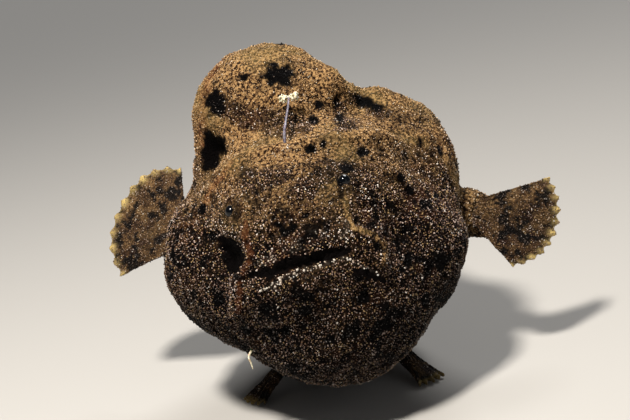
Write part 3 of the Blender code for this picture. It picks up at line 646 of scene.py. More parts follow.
def gape_at(places):
    """One where shade is painted near black, in the mouth's slit and the deepest hollows, where no
    granule grows.
    """
    return in_bands(places, GAPE_BANDS, layered(places, GAPE_EDGE))


MARKERS = {
    "blotch": blotch_at,
    "tan": tan_at,
    "pale": pale_at,
    "rust": rust_at,
    "pore": pore_at,
    "dim": dim_at,
    "gape": gape_at,
}


def marks_at(places):
    """All markings by their names."""
    return {name: marker(places) for name, marker in MARKERS.items()}


# The bright marks are on the granules; the ground between them hardly shows them.
GROUND_PALE = 0.06
for name, values in marks_at(corners(SKIN)).items():
    store(SKIN, name, values * (GROUND_PALE if name == "pale" else 1))
print("skin marked:", len(PHOTO_SPOTS), "spots seen and", len(BODY_SPOTS), "hidden")

# %% [markdown]
# ## The shared finish
#
# One node group mixes the colours for every living surface: given the markings and a
# tone that picks among the granules' colours, it puts out a colour, a roughness and a
# height.  The skin between the granules is the dark ground, and each granule keeps a
# tone of its own.

# %% Tools for shader nodes
def shade(*levels):
    """A colour given as it looks on a screen, made linear for the renderer."""
    shares = [level / 255 for level in levels]
    bright = [((share + 0.055) / 1.055) ** 2.4 for share in shares]
    pairs = zip(shares, bright)
    return (*[share / 12.92 if share <= 0.04045 else light for share, light in pairs], 1.0)


def stops(*rows):
    """A ramp's stops; each row is a place, then a colour as it looks on a screen."""
    return [(row[0], shade(*row[1:])) for row in rows]


def feed(tree, node, inputs):
    """Give a node's inputs, by name or number, a value or another node's output."""
    for name, value in inputs.items():
        if isinstance(value, bpy.types.NodeSocket):
            tree.links.new(value, node.inputs[name])
        else:
            node.inputs[name].default_value = value
    return node


def add(tree, kind, settings=None, **inputs):
    """Add a node with these settings and inputs."""
    made = tree.nodes.new(kind)
    for name, value in (settings or {}).items():
        setattr(made, name, value)
    return feed(tree, made, inputs)


def ramp(tree, factor, colours, interpolation="LINEAR"):
    """A colour ramp through these stops."""
    made = add(tree, "ShaderNodeValToRGB", Fac=factor)
    made.color_ramp.interpolation = interpolation
    elements = made.color_ramp.elements
    while len(elements) > 1:
        elements.remove(elements[-1])
    elements[0].position, elements[0].color = colours[0]
    for place, colour in colours[1:]:
        elements.new(place).color = colour
    return made.outputs["Color"]


def mix(tree, factor, first, second, blend="MIX"):
    """Mix two colours."""
    made = add(tree, "ShaderNodeMix", {"data_type": "RGBA", "blend_type": blend})
    return feed(tree, made, {0: factor, 6: first, 7: second}).outputs[2]


def maths(tree, operation, first, second=0.5, clamp=False):
    """One sum on two numbers."""
    made = add(tree, "ShaderNodeMath", {"operation": operation, "use_clamp": clamp})
    return feed(tree, made, {0: first, 1: second}).outputs[0]


def cloud(tree, places, waves, detail=2.0):
    """Soft noise between nothing and one, for the shader."""
    made = add(tree, "ShaderNodeTexNoise", Vector=places, Scale=waves, Detail=detail)
    return made.outputs["Fac"]


# %% Build the colour group
LOW_GRANULES = stops(
    (0.00, 34, 21, 17), (0.20, 84, 56, 40), (0.36, 136, 100, 66), (0.50, 158, 128, 112),
    (0.66, 176, 146, 100), (0.78, 206, 184, 172), (0.91, 242, 232, 222),
)
HIGH_GRANULES = stops(
    (0.00, 30, 18, 12), (0.15, 98, 68, 44), (0.26, 168, 130, 84), (0.50, 194, 157, 108),
    (0.76, 224, 194, 150), (0.92, 248, 232, 204),
)
DARK_GRANULES = stops(
    (0.00, 8, 5, 5), (0.46, 38, 26, 22), (0.68, 110, 94, 84), (0.86, 188, 176, 168)
)
PALE_GRANULES = stops((0.00, 190, 174, 156), (0.35, 240, 230, 216), (0.70, 255, 252, 246))
LOW_GROUND = stops((0.38, 3, 2, 2), (0.52, 10, 6, 5), (0.66, 38, 21, 15))
HIGH_GROUND = stops((0.42, 34, 22, 14), (0.50, 114, 84, 54), (0.58, 174, 138, 92))
BLACK = shade(3, 2, 2)
RUST = shade(136, 78, 46)
OLIVE = shade(134, 114, 70)
FINE_WAVES = 1300.0
MOTTLE_WAVES = 760.0
OLIVE_WAVES = 34.0
DOT_WAVES = 900.0
RUST_SHARE = 0.40
# The most of the brightness that the painted shade below takes away.
DIM_SHARE = 0.78

MARKS = ("blotch", "tan", "pale", "rust", "pore", "dim")
GROUP_INPUTS = [("Coordinates", "Vector"), ("Tone", "Float"), ("Ground", "Float")]
GROUP_INPUTS += [(name.capitalize(), "Float") for name in MARKS]
GROUP_OUTPUTS = [("Colour", "Color"), ("Roughness", "Float"), ("Height", "Float")]


def make_colour_group():
    """Markings and a tone in; colour, roughness and height out."""
    group = bpy.data.node_groups.new("living_skin", "ShaderNodeTree")
    for direction, sockets in (("INPUT", GROUP_INPUTS), ("OUTPUT", GROUP_OUTPUTS)):
        for name, kind in sockets:
            group.interface.new_socket(name, in_out=direction, socket_type="NodeSocket" + kind)
    given = group.nodes.new("NodeGroupInput").outputs
    places, ground, tan = given["Coordinates"], given["Ground"], given["Tan"]
    times, plus, minus = (partial(maths, group, kind) for kind in ("MULTIPLY", "ADD", "SUBTRACT"))
    fine = cloud(group, places, FINE_WAVES)
    mottle = cloud(group, places, MOTTLE_WAVES, 3.0)

    def picked(colours):
        """The colour that a granule's tone picks among these."""
        return ramp(group, given["Tone"], colours, "CONSTANT")

    granule = mix(group, tan, picked(LOW_GRANULES), picked(HIGH_GRANULES))
    between = mix(group, tan, ramp(group, mottle, LOW_GROUND), ramp(group, mottle, HIGH_GROUND))
    body = mix(group, ground, granule, between)
    rusty = mix(group, times(given["Rust"], RUST_SHARE), body, RUST)
    olive = minus(cloud(group, places, OLIVE_WAVES, 3.0), 0.48, clamp=True)
    green = mix(group, times(times(olive, 2.4), tan), rusty, OLIVE)
    spotted = mix(group, given["Blotch"], green, mix(group, ground, picked(DARK_GRANULES), BLACK))
    open_pore = minus(0.85, times(tan, 0.45))
    pored = mix(group, times(given["Pore"], open_pore), spotted, BLACK)
    lit = mix(group, given["Pale"], pored, picked(PALE_GRANULES))
    # Painted shade darkens the throat, chin and belly; fine noise mottles the brightness.
    light = minus(1.0, times(given["Dim"], DIM_SHARE))
    light = times(plus(times(fine, 0.8), 0.58), light)
    grey = add(group, "ShaderNodeCombineColor", Red=light, Green=light, Blue=light)
    colour = mix(group, 1.0, lit, grey.outputs[0], "MULTIPLY")
    rough = plus(plus(times(fine, 0.3), 0.36), times(ground, 0.30))
    result = {"Colour": colour, "Roughness": rough, "Height": fine}
    feed(group, group.nodes.new("NodeGroupOutput"), result)
    return group


COLOUR_GROUP = make_colour_group()
print("colour group:", len(COLOUR_GROUP.nodes), "nodes")


# %% Make the living finishes
def bumps(tree, height, strength, distance):
    """A direction that is tilted by the slopes of a height."""
    made = add(tree, "ShaderNodeBump", Height=height, Strength=strength, Distance=distance)
    return made.outputs["Normal"]


def new_finish(name):
    """An empty finish: its node tree, its shader and Object coordinates."""
    finish = bpy.data.materials.new(name)
    finish.use_nodes = True
    tree = finish.node_tree
    places = add(tree, "ShaderNodeTexCoord").outputs["Object"]
    return finish, tree, tree.nodes["Principled BSDF"], places


def kept(tree, name):
    """A number that the piece keeps at its corners."""
    return add(tree, "ShaderNodeAttribute", {"attribute_name": name}).outputs["Fac"]


def living_finish(name, bump_strength, ground, shine, rim=False):
    """Skin, fin or granule: the shared group, fed with the piece's own markings."""
    finish, tree, shader, places = new_finish(name)
    group = add(
        tree, "ShaderNodeGroup", {"node_tree": COLOUR_GROUP}, Coordinates=places, Ground=ground,
        Tone=0.3 if ground else kept(tree, "tone"),
        **{mark.capitalize(): kept(tree, mark) for mark in MARKS},
    ).outputs
    colour = group["Colour"]
    if ground:
        # Painted shade, near black, in the mouth's slit and the deepest hollows.
        colour = mix(tree, kept(tree, "gape"), colour, shade(4, 2, 2))
    if rim:
        colour = mix(tree, kept(tree, "rim_pale"), colour, shade(204, 178, 112))
    dots = add(tree, "ShaderNodeTexVoronoi", {"feature": "F1"}, Vector=places, Scale=DOT_WAVES)
    height = maths(tree, "MULTIPLY", group["Height"], 0.5)
    height = maths(tree, "SUBTRACT", height, dots.outputs["Distance"])
    feed(tree, shader, {
        "Base Color": colour,
        "Roughness": group["Roughness"],
        "Normal": bumps(tree, height, bump_strength, 0.0006),
        "Specular IOR Level": shine,
    })
    return finish


SKIN_FINISH = living_finish("skin_finish", 0.9, 1.0, 0.05)
GRANULE_FINISH = living_finish("granule_finish", 0.25, 0.0, 0.38)
FIN_FINISH = living_finish("fin_finish", 0.8, 0.75, 0.12, rim=True)
print("living finishes made")

# %% Finish the skin
SKIN.data.materials.append(SKIN_FINISH)
only(SKIN)
bpy.ops.object.shade_smooth()
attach(SKIN, "root")
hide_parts(*FLESH)
print("skin finished")

# %% [markdown]
# ## Granules
#
# Every square millimetre of the face carries a hard little granule that glints.  One
# granule is modelled from a small sphere, drawn out to a blunt point, and copied to
# tens of thousands of places, each copy with its own size, lean and tone.  The
# granules carry a map that tells where each of them stands on the skin; it is taken
# from an unwrap of the skin's own shape.

# %% Unwrap and read the map
def unwrap(thing):
    """Lay the thing's own surface out flat."""
    with editing(thing):
        bpy.ops.uv.smart_project(angle_limit=math.radians(66), island_margin=0.002)


def triangles(thing):
    """Corner numbers, corner places and map places of all triangles."""
    mesh = thing.data
    mesh.calc_loop_triangles()
    numbers = read(mesh.loop_triangles, "vertices", 3, np.int32)
    loops = read(mesh.loop_triangles, "loops", 3, np.int32)
    return numbers, corners(thing)[numbers], read(mesh.uv_layers.active.data, "uv", 2)[loops]


# %% Model one granule
# The size of one granule's patch on the map.
PATCH = 0.003


def model_granule():
    """The corners and faces of one granule that stands on the origin."""
    only()
    bpy.ops.mesh.primitive_uv_sphere_add(segments=5, ring_count=3, radius=1)
    ball = bpy.context.active_object
    with editing(ball):
        bpy.ops.transform.resize(value=(1, 1, 0.9))
        bpy.ops.mesh.quads_convert_to_tris()
    places = corners(ball)
    places[:, 2] += np.where(places[:, 2] > 0.8, 0.30, 0.12)
    faces = np.array([tuple(face.vertices) for face in ball.data.polygons])
    bpy.data.objects.remove(ball)
    return places, faces


GRANULE, GRANULE_FACES = model_granule()
print("granule:", len(GRANULE_FACES), "triangles")


# %% Scatter granules over a surface
# How many roots are drawn for each square of the spacing; one in each cell is kept.
TRIES = 2.4
CELL_KEY = np.array((73856093, 19349663, 83492791))
OFF_FLOOR = 0.0009
LEAN = 0.16
TONE_NOISE = ((0.24, 240, 20),)


def scatter(thing, spacing, draw, wanted=None):
    """Roots about a spacing apart: places, directions, map places, nearest corners."""
    numbers, places, flat = triangles(thing)
    normals = np.cross(places[:, 1] - places[:, 0], places[:, 2] - places[:, 0])
    areas = np.linalg.norm(normals, axis=1) / 2
    weights = areas if wanted is None else areas * wanted(places.mean(axis=1))
    count = int(weights.sum() / spacing**2 * TRIES)
    chosen = draw.choice(len(areas), count, p=weights / weights.sum())
    pair = draw.random((2, count))
    pair = np.where(pair.sum(axis=0) > 1, 1 - pair, pair)
    shares = np.stack((1 - pair[0] - pair[1], *pair), axis=1)
    roots = np.einsum("nk,nkd->nd", shares, places[chosen])
    on_map = np.einsum("nk,nkd->nd", shares, flat[chosen])
    ways = unit(normals[chosen] / np.maximum(2 * areas[chosen], 1e-12)[:, None])
    cell = np.floor(roots / spacing).astype(np.int64)
    _, keep = np.unique(np.bitwise_xor.reduce(cell * CELL_KEY, axis=1), return_index=True)
    keep = keep[roots[keep, 2] > OFF_FLOOR]
    return roots[keep], ways[keep], on_map[keep], numbers[chosen[keep], 0]


def make_granules(name, roots, ways, on_map, sizes, marks, draw):
    """Join granules at these roots into one piece with its own map."""
    count = len(roots)
    helper = np.where(np.abs(ways[:, 2:3]) < 0.9, (0.0, 0.0, 1.0), (1.0, 0.0, 0.0))
    side_way = unit(np.cross(helper, ways))
    other_way = np.cross(ways, side_way)
    spin = draw.uniform(0, math.tau, count)
    turned = side_way * np.cos(spin)[:, None] + other_way * np.sin(spin)[:, None]
    across = np.cross(ways, turned)
    wide = sizes * draw.uniform(0.85, 1.25, count)
    tall = sizes * draw.uniform(0.8, 1.35, count)
    up = ways + draw.normal(0, LEAN, (count, 3))
    places = roots[:, None, :]
    for axis, (way, size) in enumerate(((turned, sizes), (across, wide), (up, tall))):
        places = places + GRANULE[None, :, axis, None] * (way * size[:, None])[:, None, :]
    faces = GRANULE_FACES[None] + (np.arange(count) * len(GRANULE))[:, None, None]
    mesh = bpy.data.meshes.new(name)
    mesh.from_pydata(places.reshape(-1, 3), [], faces.reshape(-1, 3))
    patch = (on_map[:, None, :] + GRANULE[None, :, :2] * PATCH / 2).reshape(-1, 2)
    layer = mesh.uv_layers.new(name="OFBake")
    layer.data.foreach_set("uv", patch[faces.reshape(-1)].astype(np.float32).ravel())
    thing = new_object(name, mesh)
    for mark_name, values in marks.items():
        store(thing, mark_name, np.repeat(values, len(GRANULE)))
    tone = 0.84 * draw.random(count) + 0.08 + layered(roots, TONE_NOISE)
    store(thing, "tone", np.repeat(np.clip(tone, 0, 1), len(GRANULE)))
    mesh.shade_smooth()
    mesh.materials.append(GRANULE_FINISH)
    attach(thing, "root")
    return thing


# %% Cover the skin
# Fine granules grow in front of this place, wider ones behind it.
GRANULES_FROM = -0.052
FACE_SPACING = 0.00108
BODY_SPACING = 0.00165
# The heights at which the pieces are parted, to keep each of them small.
FACE_BANDS = (-1.0, 0.036, 0.058, 0.080, 0.101, 0.117, 1.0)
BODY_BANDS = (-1.0, 0.062, 0.104, 1.0)
# The share of granules that is missing on dark spots and on smooth folds.
BARE_SPOTS, BARE_FOLDS = 0.66, 0.40


def in_front(middles):
    """One where the fine granules of the face grow."""
    return (middles[:, 1] < GRANULES_FROM).astype(float)


def behind(middles):
    """One where the wider granules of the body grow."""
    return 1 - in_front(middles)


def cover(name, spacing, wanted, bands, sizes, seed):
    """Granules over a part of the skin, one piece for each band of height."""
    draw = np.random.default_rng(seed)
    roots, ways, on_map, _ = scatter(SKIN, spacing, draw, wanted)
    marks = marks_at(roots)
    bare = np.maximum(marks["blotch"], 0.9 * marks["pore"]) * (1 - marks["pale"])
    bare = np.maximum(BARE_SPOTS * bare, BARE_FOLDS * membrane_at(roots))
    stays = draw.random(len(roots)) > bare
    stays &= (near_eyes(roots, 0.0040) < 0.42) & (marks["gape"] < 0.5)
    smallest, largest = sizes
    own = smallest + (largest - smallest) * draw.random(len(roots)) ** 2.0
    own = own * (1 + 0.45 * marks["pale"]) * (1 - 0.6 * near_eyes(roots, 0.0046))
    own = own * (1 - 0.25 * marks["tan"])
    made = []
    for number, (low, high) in enumerate(pairwise(bands), 1):
        band = stays & (roots[:, 2] >= low) & (roots[:, 2] < high)
        given = [rows[band] for rows in (roots, ways, on_map, own)]
        band_marks = {mark_name: values[band] for mark_name, values in marks.items()}
        piece = make_granules(f"{name}_{number}", *given, band_marks, draw)
        made.append(piece)
    return made


unwrap(SKIN)
COATS = cover("face_granules", FACE_SPACING, in_front, FACE_BANDS, (0.00022, 0.00048), 21)
COATS += cover("body_granules", BODY_SPACING, behind, BODY_BANDS, (0.00032, 0.00070), 22)
for coat in COATS:
    print(coat.name, len(coat.data.polygons), "triangles")

# %% [markdown]
# ## Fins
#
# The pectoral fins are hands: eleven stout rays joined by a thick membrane, with a
# pale, fleshy knob at every ray's tip.  The other fins are fans and ribbons built on
# the same plan.  A flat grid is laid over the fin's shape, and a Solidify whose
# thickness follows a vertex group gives the rays their ridges.

# %% A fin from a grid
COLUMNS_A_RAY = 8
ROWS = 26
RAY_WIDTH = 0.42
# How much thicker a fin is on a ray, at its root, and how much of that is lost at its tip.
RIDGE, RIDGE_LOSS = 0.0011, 0.0004
FIN_RELIEF = ((0.00025, 700, 12), (0.0003, 260, 13))
FIN_CLOUDS = ((1.0, 170, 14), (0.7, 420, 15))


def nearness(share, rays):
    """One on a ray and zero midway between two rays."""
    place = share * (rays - 1)
    return np.clip(1 - np.abs(place - np.round(place)) / RAY_WIDTH, 0, 1) ** 1.2


def make_fin(name, rays, place_at, thickness, knob, rim):
    """A fin from a grid.

    place_at turns a share across and outwards into a place.  The thickness is that at
    the root, that at the tip and how fast the one turns into the other.  A knob adds its
    own at a ray's tip, and the rim is how far the membrane stays back between two rays.
    """
    fin, share, out = grid(name, (rays - 1) * COLUMNS_A_RAY, ROWS)
    on_ray = nearness(share, rays)
    reach = out * (1 - rim * (1 - on_ray) * out**3)
    move_corners(fin, [place_at(*pair) for pair in zip(share, reach)])
    # Every few rays one has a full knob; the others have a smaller one.
    own = np.where(np.round(share * (rays - 1)) % 5 % 3 == 0, 1.0, 0.45)
    tip = own * on_ray * bell(out, 0.955, 0.045)
    root, end, fade = thickness
    full = end + (root - end) * (1 - out) ** fade + on_ray * (RIDGE - RIDGE_LOSS * out)
    full = full + tip * knob
    group = fin.vertex_groups.new(name="thickness")
    for number, weight in enumerate(full / full.max()):
        group.add([number], float(weight), "REPLACE")
    store(fin, "rim_pale", np.clip(0.5 * bell(out, 1.0, 0.020) + 1.6 * tip, 0, 1))
    full_size = {"thickness": float(full.max()), "vertex_group": "thickness"}
    apply(fin, "SOLIDIFY", offset=0.0, use_even_offset=False, **full_size)
    apply(fin, "SUBSURF", levels=1, render_levels=1)
    return fin


def finish_fin(fin, seed, spacing=0.0014, knobs=0.4):
    """Mark a fin, give it its finish and bead it with small granules."""
    outward(fin)
    places = corners(fin)
    places = places + corners(fin, "normal") * layered(places, FIN_RELIEF)[:, None]
    places[:, 2] = np.maximum(places[:, 2], 0.0001)
    move_corners(fin, places)
    rim = knobs * stored(fin, "rim_pale")
    height = smooth_step(places[:, 2], 0.04, 0.11)
    clouds = smooth_step(layered(places, FIN_CLOUDS), 0.06, 0.30)
    marks = {
        "blotch": clouds * (1 - rim) * 0.95,
        "tan": np.clip(0.15 + 0.25 * height + 0.5 * grain(places, 130, seed=16), 0, 1),
        "pale": 0.2 * rim,
        "rust": 0.3 * rust_at(places),
        "pore": 0.6 * pore_at(places) * (1 - rim),
        # Painted shade darkens the low fins more; the rest of this darkening is the fins' own
        # darker colour.
        "dim": 0.42 + 0.35 * smooth_step(-places[:, 2], -0.05, 0.0),
    }
    for name, values in {**marks, "rim_pale": rim, "gape": 0 * rim}.items():
        store(fin, name, values)
    fin.data.materials.append(FIN_FINISH)
    only(fin)
    bpy.ops.object.shade_smooth()
    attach(fin, "root")
    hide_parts(fin.name.removesuffix("_dressed"))
    unwrap(fin)
    draw = np.random.default_rng(seed)
    roots, ways, on_map, nearest = scatter(fin, spacing, draw)
    sizes = 0.00018 + 0.00026 * draw.random(len(roots)) ** 1.8
    marks = {name: values[nearest] for name, values in marks.items()}
    coat = make_granules(fin.name + "_granules", roots, ways, on_map, sizes, marks, draw)
    print(fin.name, len(fin.data.polygons), "faces and", len(coat.data.polygons), "of granules")


# %% The two hands
# By side, 1 for the left: the wrist, the middle ray's angle, half the fan's angle, the
# lengths of the upper and the lower ray, and what the middle ray has on top of them.
HANDS = {
    1: ((0.0850, 0.0210, 0.0762), -24.0, 32.0, (0.0365, 0.0235), 0.0095),
    -1: ((-0.0785, 0.0350, 0.0845), 29.5, 46.5, (0.0315, 0.0375), 0.0135),
}
WRIST_HALF = 0.0096
RAYS_SUNK = 0.0070
CURL, BEND = 0.0020, 0.0070
SIDE_NAMES = {1: "left", -1: "right"}


def hand_place(side):
    """How a share across the hand and outwards becomes a place."""
    face = unit((0.22 * side, -0.86, 0.40))
    outwards = side * unit(np.cross((0.0, 0.0, 1.0), face))
    upwards = side * unit(np.cross(face, outwards))
    wrist, aim, fan, (upper, lower), extra = HANDS[side]
    aim, fan = math.radians(aim), math.radians(fan)
    across = upwards * math.cos(aim) - outwards * math.sin(aim)

    def place_at(share, out):
        angle = aim + fan * (1 - 2 * share)
        way = outwards * math.cos(angle) + upwards * math.sin(angle)
        length = upper + (lower - upper) * share + extra * math.sin(math.pi * share)
        reach = out * (length + RAYS_SUNK) - RAYS_SUNK
        curl = CURL * math.sin(3 * math.pi * share) * out - BEND * out * out
        start = MIDDLE + np.array(wrist) + across * WRIST_HALF * (1 - 2 * share)
        return start + way * reach + face * curl

    return place_at


for side in (1, -1):
    node = f"pectoral_fin_{SIDE_NAMES[side]}_dressed"
    hand = make_fin(node, 11, hand_place(side), (0.0100, 0.0008, 2.6), knob=0.0022, rim=0.05)
    finish_fin(hand, 31 + side, 0.00105, knobs=1.0)

# %% The tail fin
CAUDAL_ROOT = np.array((0.0120, 0.1560, 0.083))
CAUDAL_SPREAD, CAUDAL_DROOP = 31, 8
CAUDAL_LENGTH, CAUDAL_ROOT_HALF, CAUDAL_SWING = 0.064, 0.0155, 0.006


def caudal_place(share, out):
    """A rounded fan that swings a little to the left."""
    spread = 2 * share - 1
    angle = math.radians(CAUDAL_SPREAD * spread - CAUDAL_DROOP)
    length = CAUDAL_LENGTH * (1 - 0.10 * spread**2)
    start = CAUDAL_ROOT + np.array((0.0, 0.0, CAUDAL_ROOT_HALF * spread))
    way = np.array((0.0, math.cos(angle), math.sin(angle)))
    swing = np.array((CAUDAL_SWING * out + CAUDAL_SWING * out * out, 0.0, 0.0))
    return MIDDLE + start + way * length * out + swing


tail_thickness = (0.0050, 0.0010, 1.4)
caudal = make_fin("caudal_fin_dressed", 9, caudal_place, tail_thickness, knob=0.0008, rim=0.08)
finish_fin(caudal, 41)


# %% The dorsal and the anal fin
# A ribbon's height is its greatest one, times a lowest share and a stretch of a wave.
MID_HEIGHT = 0.085
RIBBON_SUNK = 0.006
RIBBON_SWAY = 0.0018


def ribbon_place(start, end, height, lean, aside, up):
    """A fin along the back or the belly, from where the flesh reaches there."""
    tallest, lowest, wave_start, wave_span = height

    def place_at(share, out):
        back = start + (end - start) * share
        probe = Vector((aside[0] + aside[1] * share, back, MID_HEIGHT)) + Vector(MIDDLE)
        point, _, _, _ = BARE.ray_cast(probe + Vector((0, 0, up * 0.3)), Vector((0, 0, -up)))
        root = np.array(probe if point is None else point) - np.array((0, 0, up * RIBBON_SUNK))
        angle = math.radians(lean[0] + lean[1] * share)
        wave = math.sin(math.pi * (wave_start + wave_span * share))
        reach = tallest * (lowest + (1 - lowest) * wave) * out
        rise = np.array((0.0, math.sin(angle), up * math.cos(angle))) * reach
        sway = np.array((RIBBON_SWAY * math.sin(7 * share) * out, 0.0, 0.0))
        return root + rise + sway

    return place_at


for name, rays, seed, ribbon in (
    ("dorsal", 13, 42, (0.064, 0.150, (0.031, 0.26, 0.05, 0.75), (40, 22), (0.003, 0.006), 1)),
    ("anal", 8, 43, (0.112, 0.146, (0.032, 0.70, 0.20, 0.70), (30, 22), (0.008, 0.003), -1)),
):
    thickness = (0.0034, 0.0009, 1.2)
    fin = make_fin(f"{name}_fin_dressed", rays, ribbon_place(*ribbon), thickness, 0.0006, 0.10)
    finish_fin(fin, seed)


# %% The pelvic feet
# The left foot's root, knee and ankle; the fin's widths there, and how its toes fan out.
FOOT = np.array(((0.0260, 0.0160, 0.0180), (0.0380, 0.0040, 0.0060), (0.0380, 0.0040, 0.0014)))
ROOT_WIDTH, KNEE_WIDTH, TOE_LENGTH = 0.010, 0.012, 0.0165
TOE_ANGLE, TOE_FAN = 82, 60


def foot_place(side):
    """A small stout foot, rooted under the throat and flat on the floor."""
    root, knee, toe = FOOT * (side, 1, 1)

    def place_at(share, out):
        aside = np.array((0.0, share - 0.5, 0.0))
        angle = math.radians(TOE_ANGLE - TOE_FAN * share)
        tip = toe + np.array((side * math.cos(angle), -math.sin(angle), 0.0)) * TOE_LENGTH
        curve = (1 - out) ** 2 * (root + aside * ROOT_WIDTH)
        curve = curve + 2 * out * (1 - out) * (knee + aside * KNEE_WIDTH) + out**2 * tip
        return MIDDLE + curve

    return place_at


for side in (1, -1):
    node = f"pelvic_fin_{SIDE_NAMES[side]}_dressed"
    foot = make_fin(node, 5, foot_place(side), (0.0064, 0.0014, 1.0), knob=0.0006, rim=0.12)
    finish_fin(foot, 51 + side, 0.00130)

# %% [markdown]
# ## Eyes
#
# A frogfish's eye is a small glossy bead set deep in a ring of skin.  The pupil is
# wide and black, the iris round it is dark with a few pale spokes, and the clear
# cornea bulges over it and glints.

# %% Make the eyes
EYE_RADIUS = 0.0038
CORNEA_RISE, CORNEA_WIDTH = 0.0004, 0.55
# Both eyes look away from this place inside the head.
LOOK_FROM = MIDDLE + np.array((0.0, 0.010, 0.085))


def eye_finish():
    """Pupil, spoked iris and dark edge by the angle from the eye's axis."""
    finish, tree, shader, _ = new_finish("eye_finish")
    ring = kept(tree, "ring")
    spoke = {"W": kept(tree, "spoke"), "Scale": 5.0}
    rays = add(tree, "ShaderNodeTexNoise", {"noise_dimensions": "1D"}, **spoke).outputs["Fac"]
    iris = ramp(tree, rays, stops((0.38, 14, 15, 20), (0.52, 44, 42, 44), (0.64, 128, 112, 88)))
    pupil = ramp(tree, ring, stops((0.44, 0, 0, 0), (0.48, 255, 255, 255)))
    edge = ramp(tree, ring, stops((0.66, 0, 0, 0), (0.80, 255, 255, 255)))
    inner = mix(tree, pupil, shade(2, 4, 8), iris)
    feed(tree, shader, {
        "Base Color": mix(tree, edge, inner, shade(20, 16, 16)),
        "Roughness": 0.16,
        "Specular IOR Level": 0.20,
        "Coat Weight": 0.22,
        "Coat Roughness": 0.02,
    })
    return finish


def make_eye(name, finish):
    """One eyeball with a bulging cornea, looking out and forwards."""
    middle = EYES[name]
    only()
    bpy.ops.mesh.primitive_uv_sphere_add(segments=48, ring_count=28, radius=EYE_RADIUS)
    eye = bpy.context.active_object
    eye.name = f"eye_{name}_dressed"
    places = corners(eye)
    angle = np.arccos(np.clip(places[:, 2] / EYE_RADIUS, -1, 1))
    spoke = np.abs(np.arctan2(places[:, 1], places[:, 0])) * 3
    places[:, 2] += CORNEA_RISE * bell(angle, 0, CORNEA_WIDTH)
    axis = Vector(unit(middle - LOOK_FROM))
    turn = np.array(Vector((0, 0, 1)).rotation_difference(axis).to_matrix())
    move_corners(eye, places @ turn.T + middle)
    store(eye, "ring", angle / (math.pi / 2))
    store(eye, "spoke", spoke)
    eye.data.materials.append(finish)
    bpy.ops.object.shade_smooth()
    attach(eye, "root")
    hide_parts(f"eye_{name}")
    print(eye.name, "at", np.round(middle, 4))


EYE_FINISH = eye_finish()
for side in ("left", "right"):
    make_eye(side, EYE_FINISH)

# %% [markdown]
# ## The rod, its bait and a thread of skin
#
# The first spine of the back fin is a fishing rod: a thin grey shaft that ends in a pale
# bait, two tufts of lobes.  Each piece is a grid rolled up into a tube along a bent
# line.  A short pale thread of skin under the chin is made the same way.

# %% Roll a grid into a tube
def bend_line(bends, count):
    """Evenly spaced points on a smooth line through the bends."""
    points = [np.array(bend, dtype=float) for bend in bends]
    spans = len(points) - 1
    padded = [2 * points[0] - points[1]] + points + [2 * points[-1] - points[-2]]
    made = []
    for step in range(count):
        place = spans * step / (count - 1)
        span = min(int(place), spans - 1)
        t = place - span
        before, start, end, after = padded[span : span + 4]
        made.append(
            0.5 * (2 * start + (end - before) * t
                   + (2 * before - 5 * start + 4 * end - after) * t**2
                   + (3 * start - before - 3 * end + after) * t**3)
        )
    return np.array(made)


def tube(name, line, radii, sides):
    """A closed tube along a line; radii are spread over its length."""
    rings = len(line)
    piece, share, along = grid(name, sides, rings - 1)
    turn = share * math.tau
    number = np.round(along * (rings - 1)).astype(int)
    slopes = unit(np.gradient(line, axis=0))
    helper = np.where(np.abs(slopes[:, :1]) < 0.9, (1.0, 0.0, 0.0), (0.0, 1.0, 0.0))
    side_way = unit(np.cross(slopes, helper))
    up_way = np.cross(slopes, side_way)
    wide = np.interp(np.linspace(0, 1, rings), np.linspace(0, 1, len(radii)), radii)[number]
    places = line[number] + side_way[number] * (wide * np.cos(turn))[:, None]
    move_corners(piece, places + up_way[number] * (wide * np.sin(turn))[:, None])
    with editing(piece):
        bpy.ops.mesh.remove_doubles(threshold=2 * WELD)
        bpy.ops.mesh.select_all(action="SELECT")
        bpy.ops.mesh.fill_holes(sides=0)
    outward(piece)
    bpy.ops.object.shade_smooth()
    return piece


# %% Make the lure and the thread
ROD = (
    (-0.0010, -0.0380, 0.1320),
    (-0.0010, -0.0400, 0.1430),
    (-0.0005, -0.0300, 0.1490),
    (0.0000, -0.0170, 0.1540),
    (0.0000, -0.0110, 0.1570),
)
LOBES = 90
CLOUD_WAVES = 900.0
CHIN_PIXELS = (252, 350)
# The thread's bends from its root, as the camera sees them: aside, down and away.
THREAD = (
    (0.0, 0.0, 0.001), (-0.0015, 0.003, -0.001), (-0.0005, 0.006, -0.001), (0.0005, 0.009, -0.0005)
)


def lure_finish(name, *colours):
    """Slightly translucent flesh with faint clouds of three shades."""
    finish, tree, shader, places = new_finish(name)
    clouds = cloud(tree, places, CLOUD_WAVES)
    rows = [(place, *colour) for place, colour in zip((0.34, 0.50, 0.62), colours)]
    feed(tree, shader, {
        "Base Color": ramp(tree, clouds, stops(*rows)),
        "Normal": bumps(tree, clouds, 0.4, 0.0003),
        "Roughness": 0.40,
        "Subsurface Weight": 0.15,
        "Subsurface Scale": 0.001,
    })
    return finish


BAIT_FINISH = lure_finish("bait", (186, 170, 130), (232, 220, 186), (255, 248, 224))
ROD_FINISH = lure_finish("rod", (70, 62, 72), (104, 98, 112), (140, 134, 146))


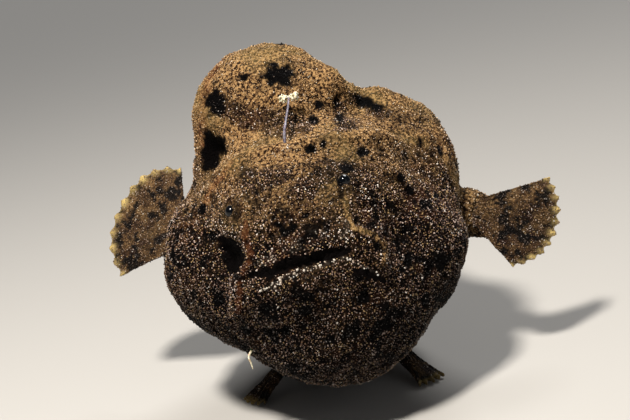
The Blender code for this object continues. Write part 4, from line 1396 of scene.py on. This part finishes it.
def make_lure():
    """The rod with two tufts of lobes at its end, as one piece."""
    line = bend_line(ROD, 30) + MIDDLE
    pieces = [tube("rod", line, (0.0009, 0.0006, 0.00045), 12)]
    draw = np.random.default_rng(61)
    pieces[0].data.materials.append(ROD_FINISH)
    for number in range(LOBES):
        side = -1 if number % 2 else 1
        tuft = line[-1] + np.array((side * 0.0028, 0.0, -0.0002))
        way = unit(draw.normal(0, 1, 3) + np.array((side * 0.3, -0.3, 0.1)))
        length = draw.uniform(0.0012, 0.0030)
        droop = np.array((0.0, 0.0, -0.0004))
        bends = (line[-1], tuft, tuft + way * length * 0.5, tuft + way * length + droop)
        radius = draw.uniform(0.00038, 0.00064)
        radii = (radius, radius, radius * 1.5, radius * 0.5)
        lobe = tube(f"lobe_{number}", bend_line(bends, 8), radii, 6)
        lobe.data.materials.append(BAIT_FINISH)
        pieces.append(lobe)
    only(*pieces)
    bpy.ops.object.join()
    lure = bpy.context.active_object
    lure.name = "illicium_dressed"
    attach(lure, "root")
    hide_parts("illicium")
    print("lure:", len(lure.data.polygons), "faces")


def make_thread():
    """A short pale thread of skin that hangs under the chin."""
    root, _ = seen(TREE, *CHIN_PIXELS)
    bends = [root + ACROSS * x - UPWARDS * down + AWAY * away for x, down, away in THREAD]
    thread = tube("chin_thread", bend_line(bends, 14), (0.0006, 0.0005, 0.00025), 7)
    thread.data.materials.append(BAIT_FINISH)
    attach(thread, "root")


make_lure()
make_thread()

# %% [markdown]
# ## Floor and light
#
# A plain pale floor and soft studio lights show the fish by itself.  The main light
# stands high in front, as in the photo, so that the chin falls into shade.

# %% Lay the floor
def make_floor():
    """A large pale floor."""
    only()
    bpy.ops.mesh.primitive_plane_add(size=60)
    floor = bpy.context.active_object
    floor.name = "floor"
    finish, tree, shader, _ = new_finish("floor_finish")
    feed(tree, shader, {"Base Color": shade(188, 185, 180), "Roughness": 0.85})
    floor.data.materials.append(finish)


make_floor()


# %% Hang the lights
def hang(name, kind, place, aim, watts, colour, **settings):
    """A light at a place, aimed at a point."""
    lamp = bpy.data.lights.new(name, kind)
    lamp.energy = watts
    lamp.color = colour
    for setting, value in settings.items():
        setattr(lamp, setting, value)
    turn = (Vector(aim) - Vector(place)).to_track_quat("-Z", "Y").to_matrix().to_4x4()
    new_object(name, lamp).matrix_world = Matrix.Translation(place) @ turn


WARM, COOL, WHITE = (1.0, 0.95, 0.88), (0.96, 0.97, 1.0), (1.0, 1.0, 1.0)
hang("key", "AREA", (-0.18, -0.56, 1.09), (0, -0.08, 0.09), 20.5, WARM, size=0.15)
hang("fill", "AREA", (0.9, -0.8, 0.45), (0, -0.05, 0.08), 0.9, COOL, size=0.8)
# A wide, faint light from behind keeps the floor pale far from the fish.
hang("sky", "SUN", (0, 0, 0), (-0.3, -0.8, -1.0), 1.6, WHITE, angle=math.radians(25))

world = bpy.data.worlds.new("studio")
world.use_nodes = True
backdrop = world.node_tree.nodes["Background"]
feed(world.node_tree, backdrop, {"Color": shade(222, 222, 224), "Strength": 0.11})
bpy.context.scene.world = world
bpy.context.scene.view_settings.view_transform = "Standard"
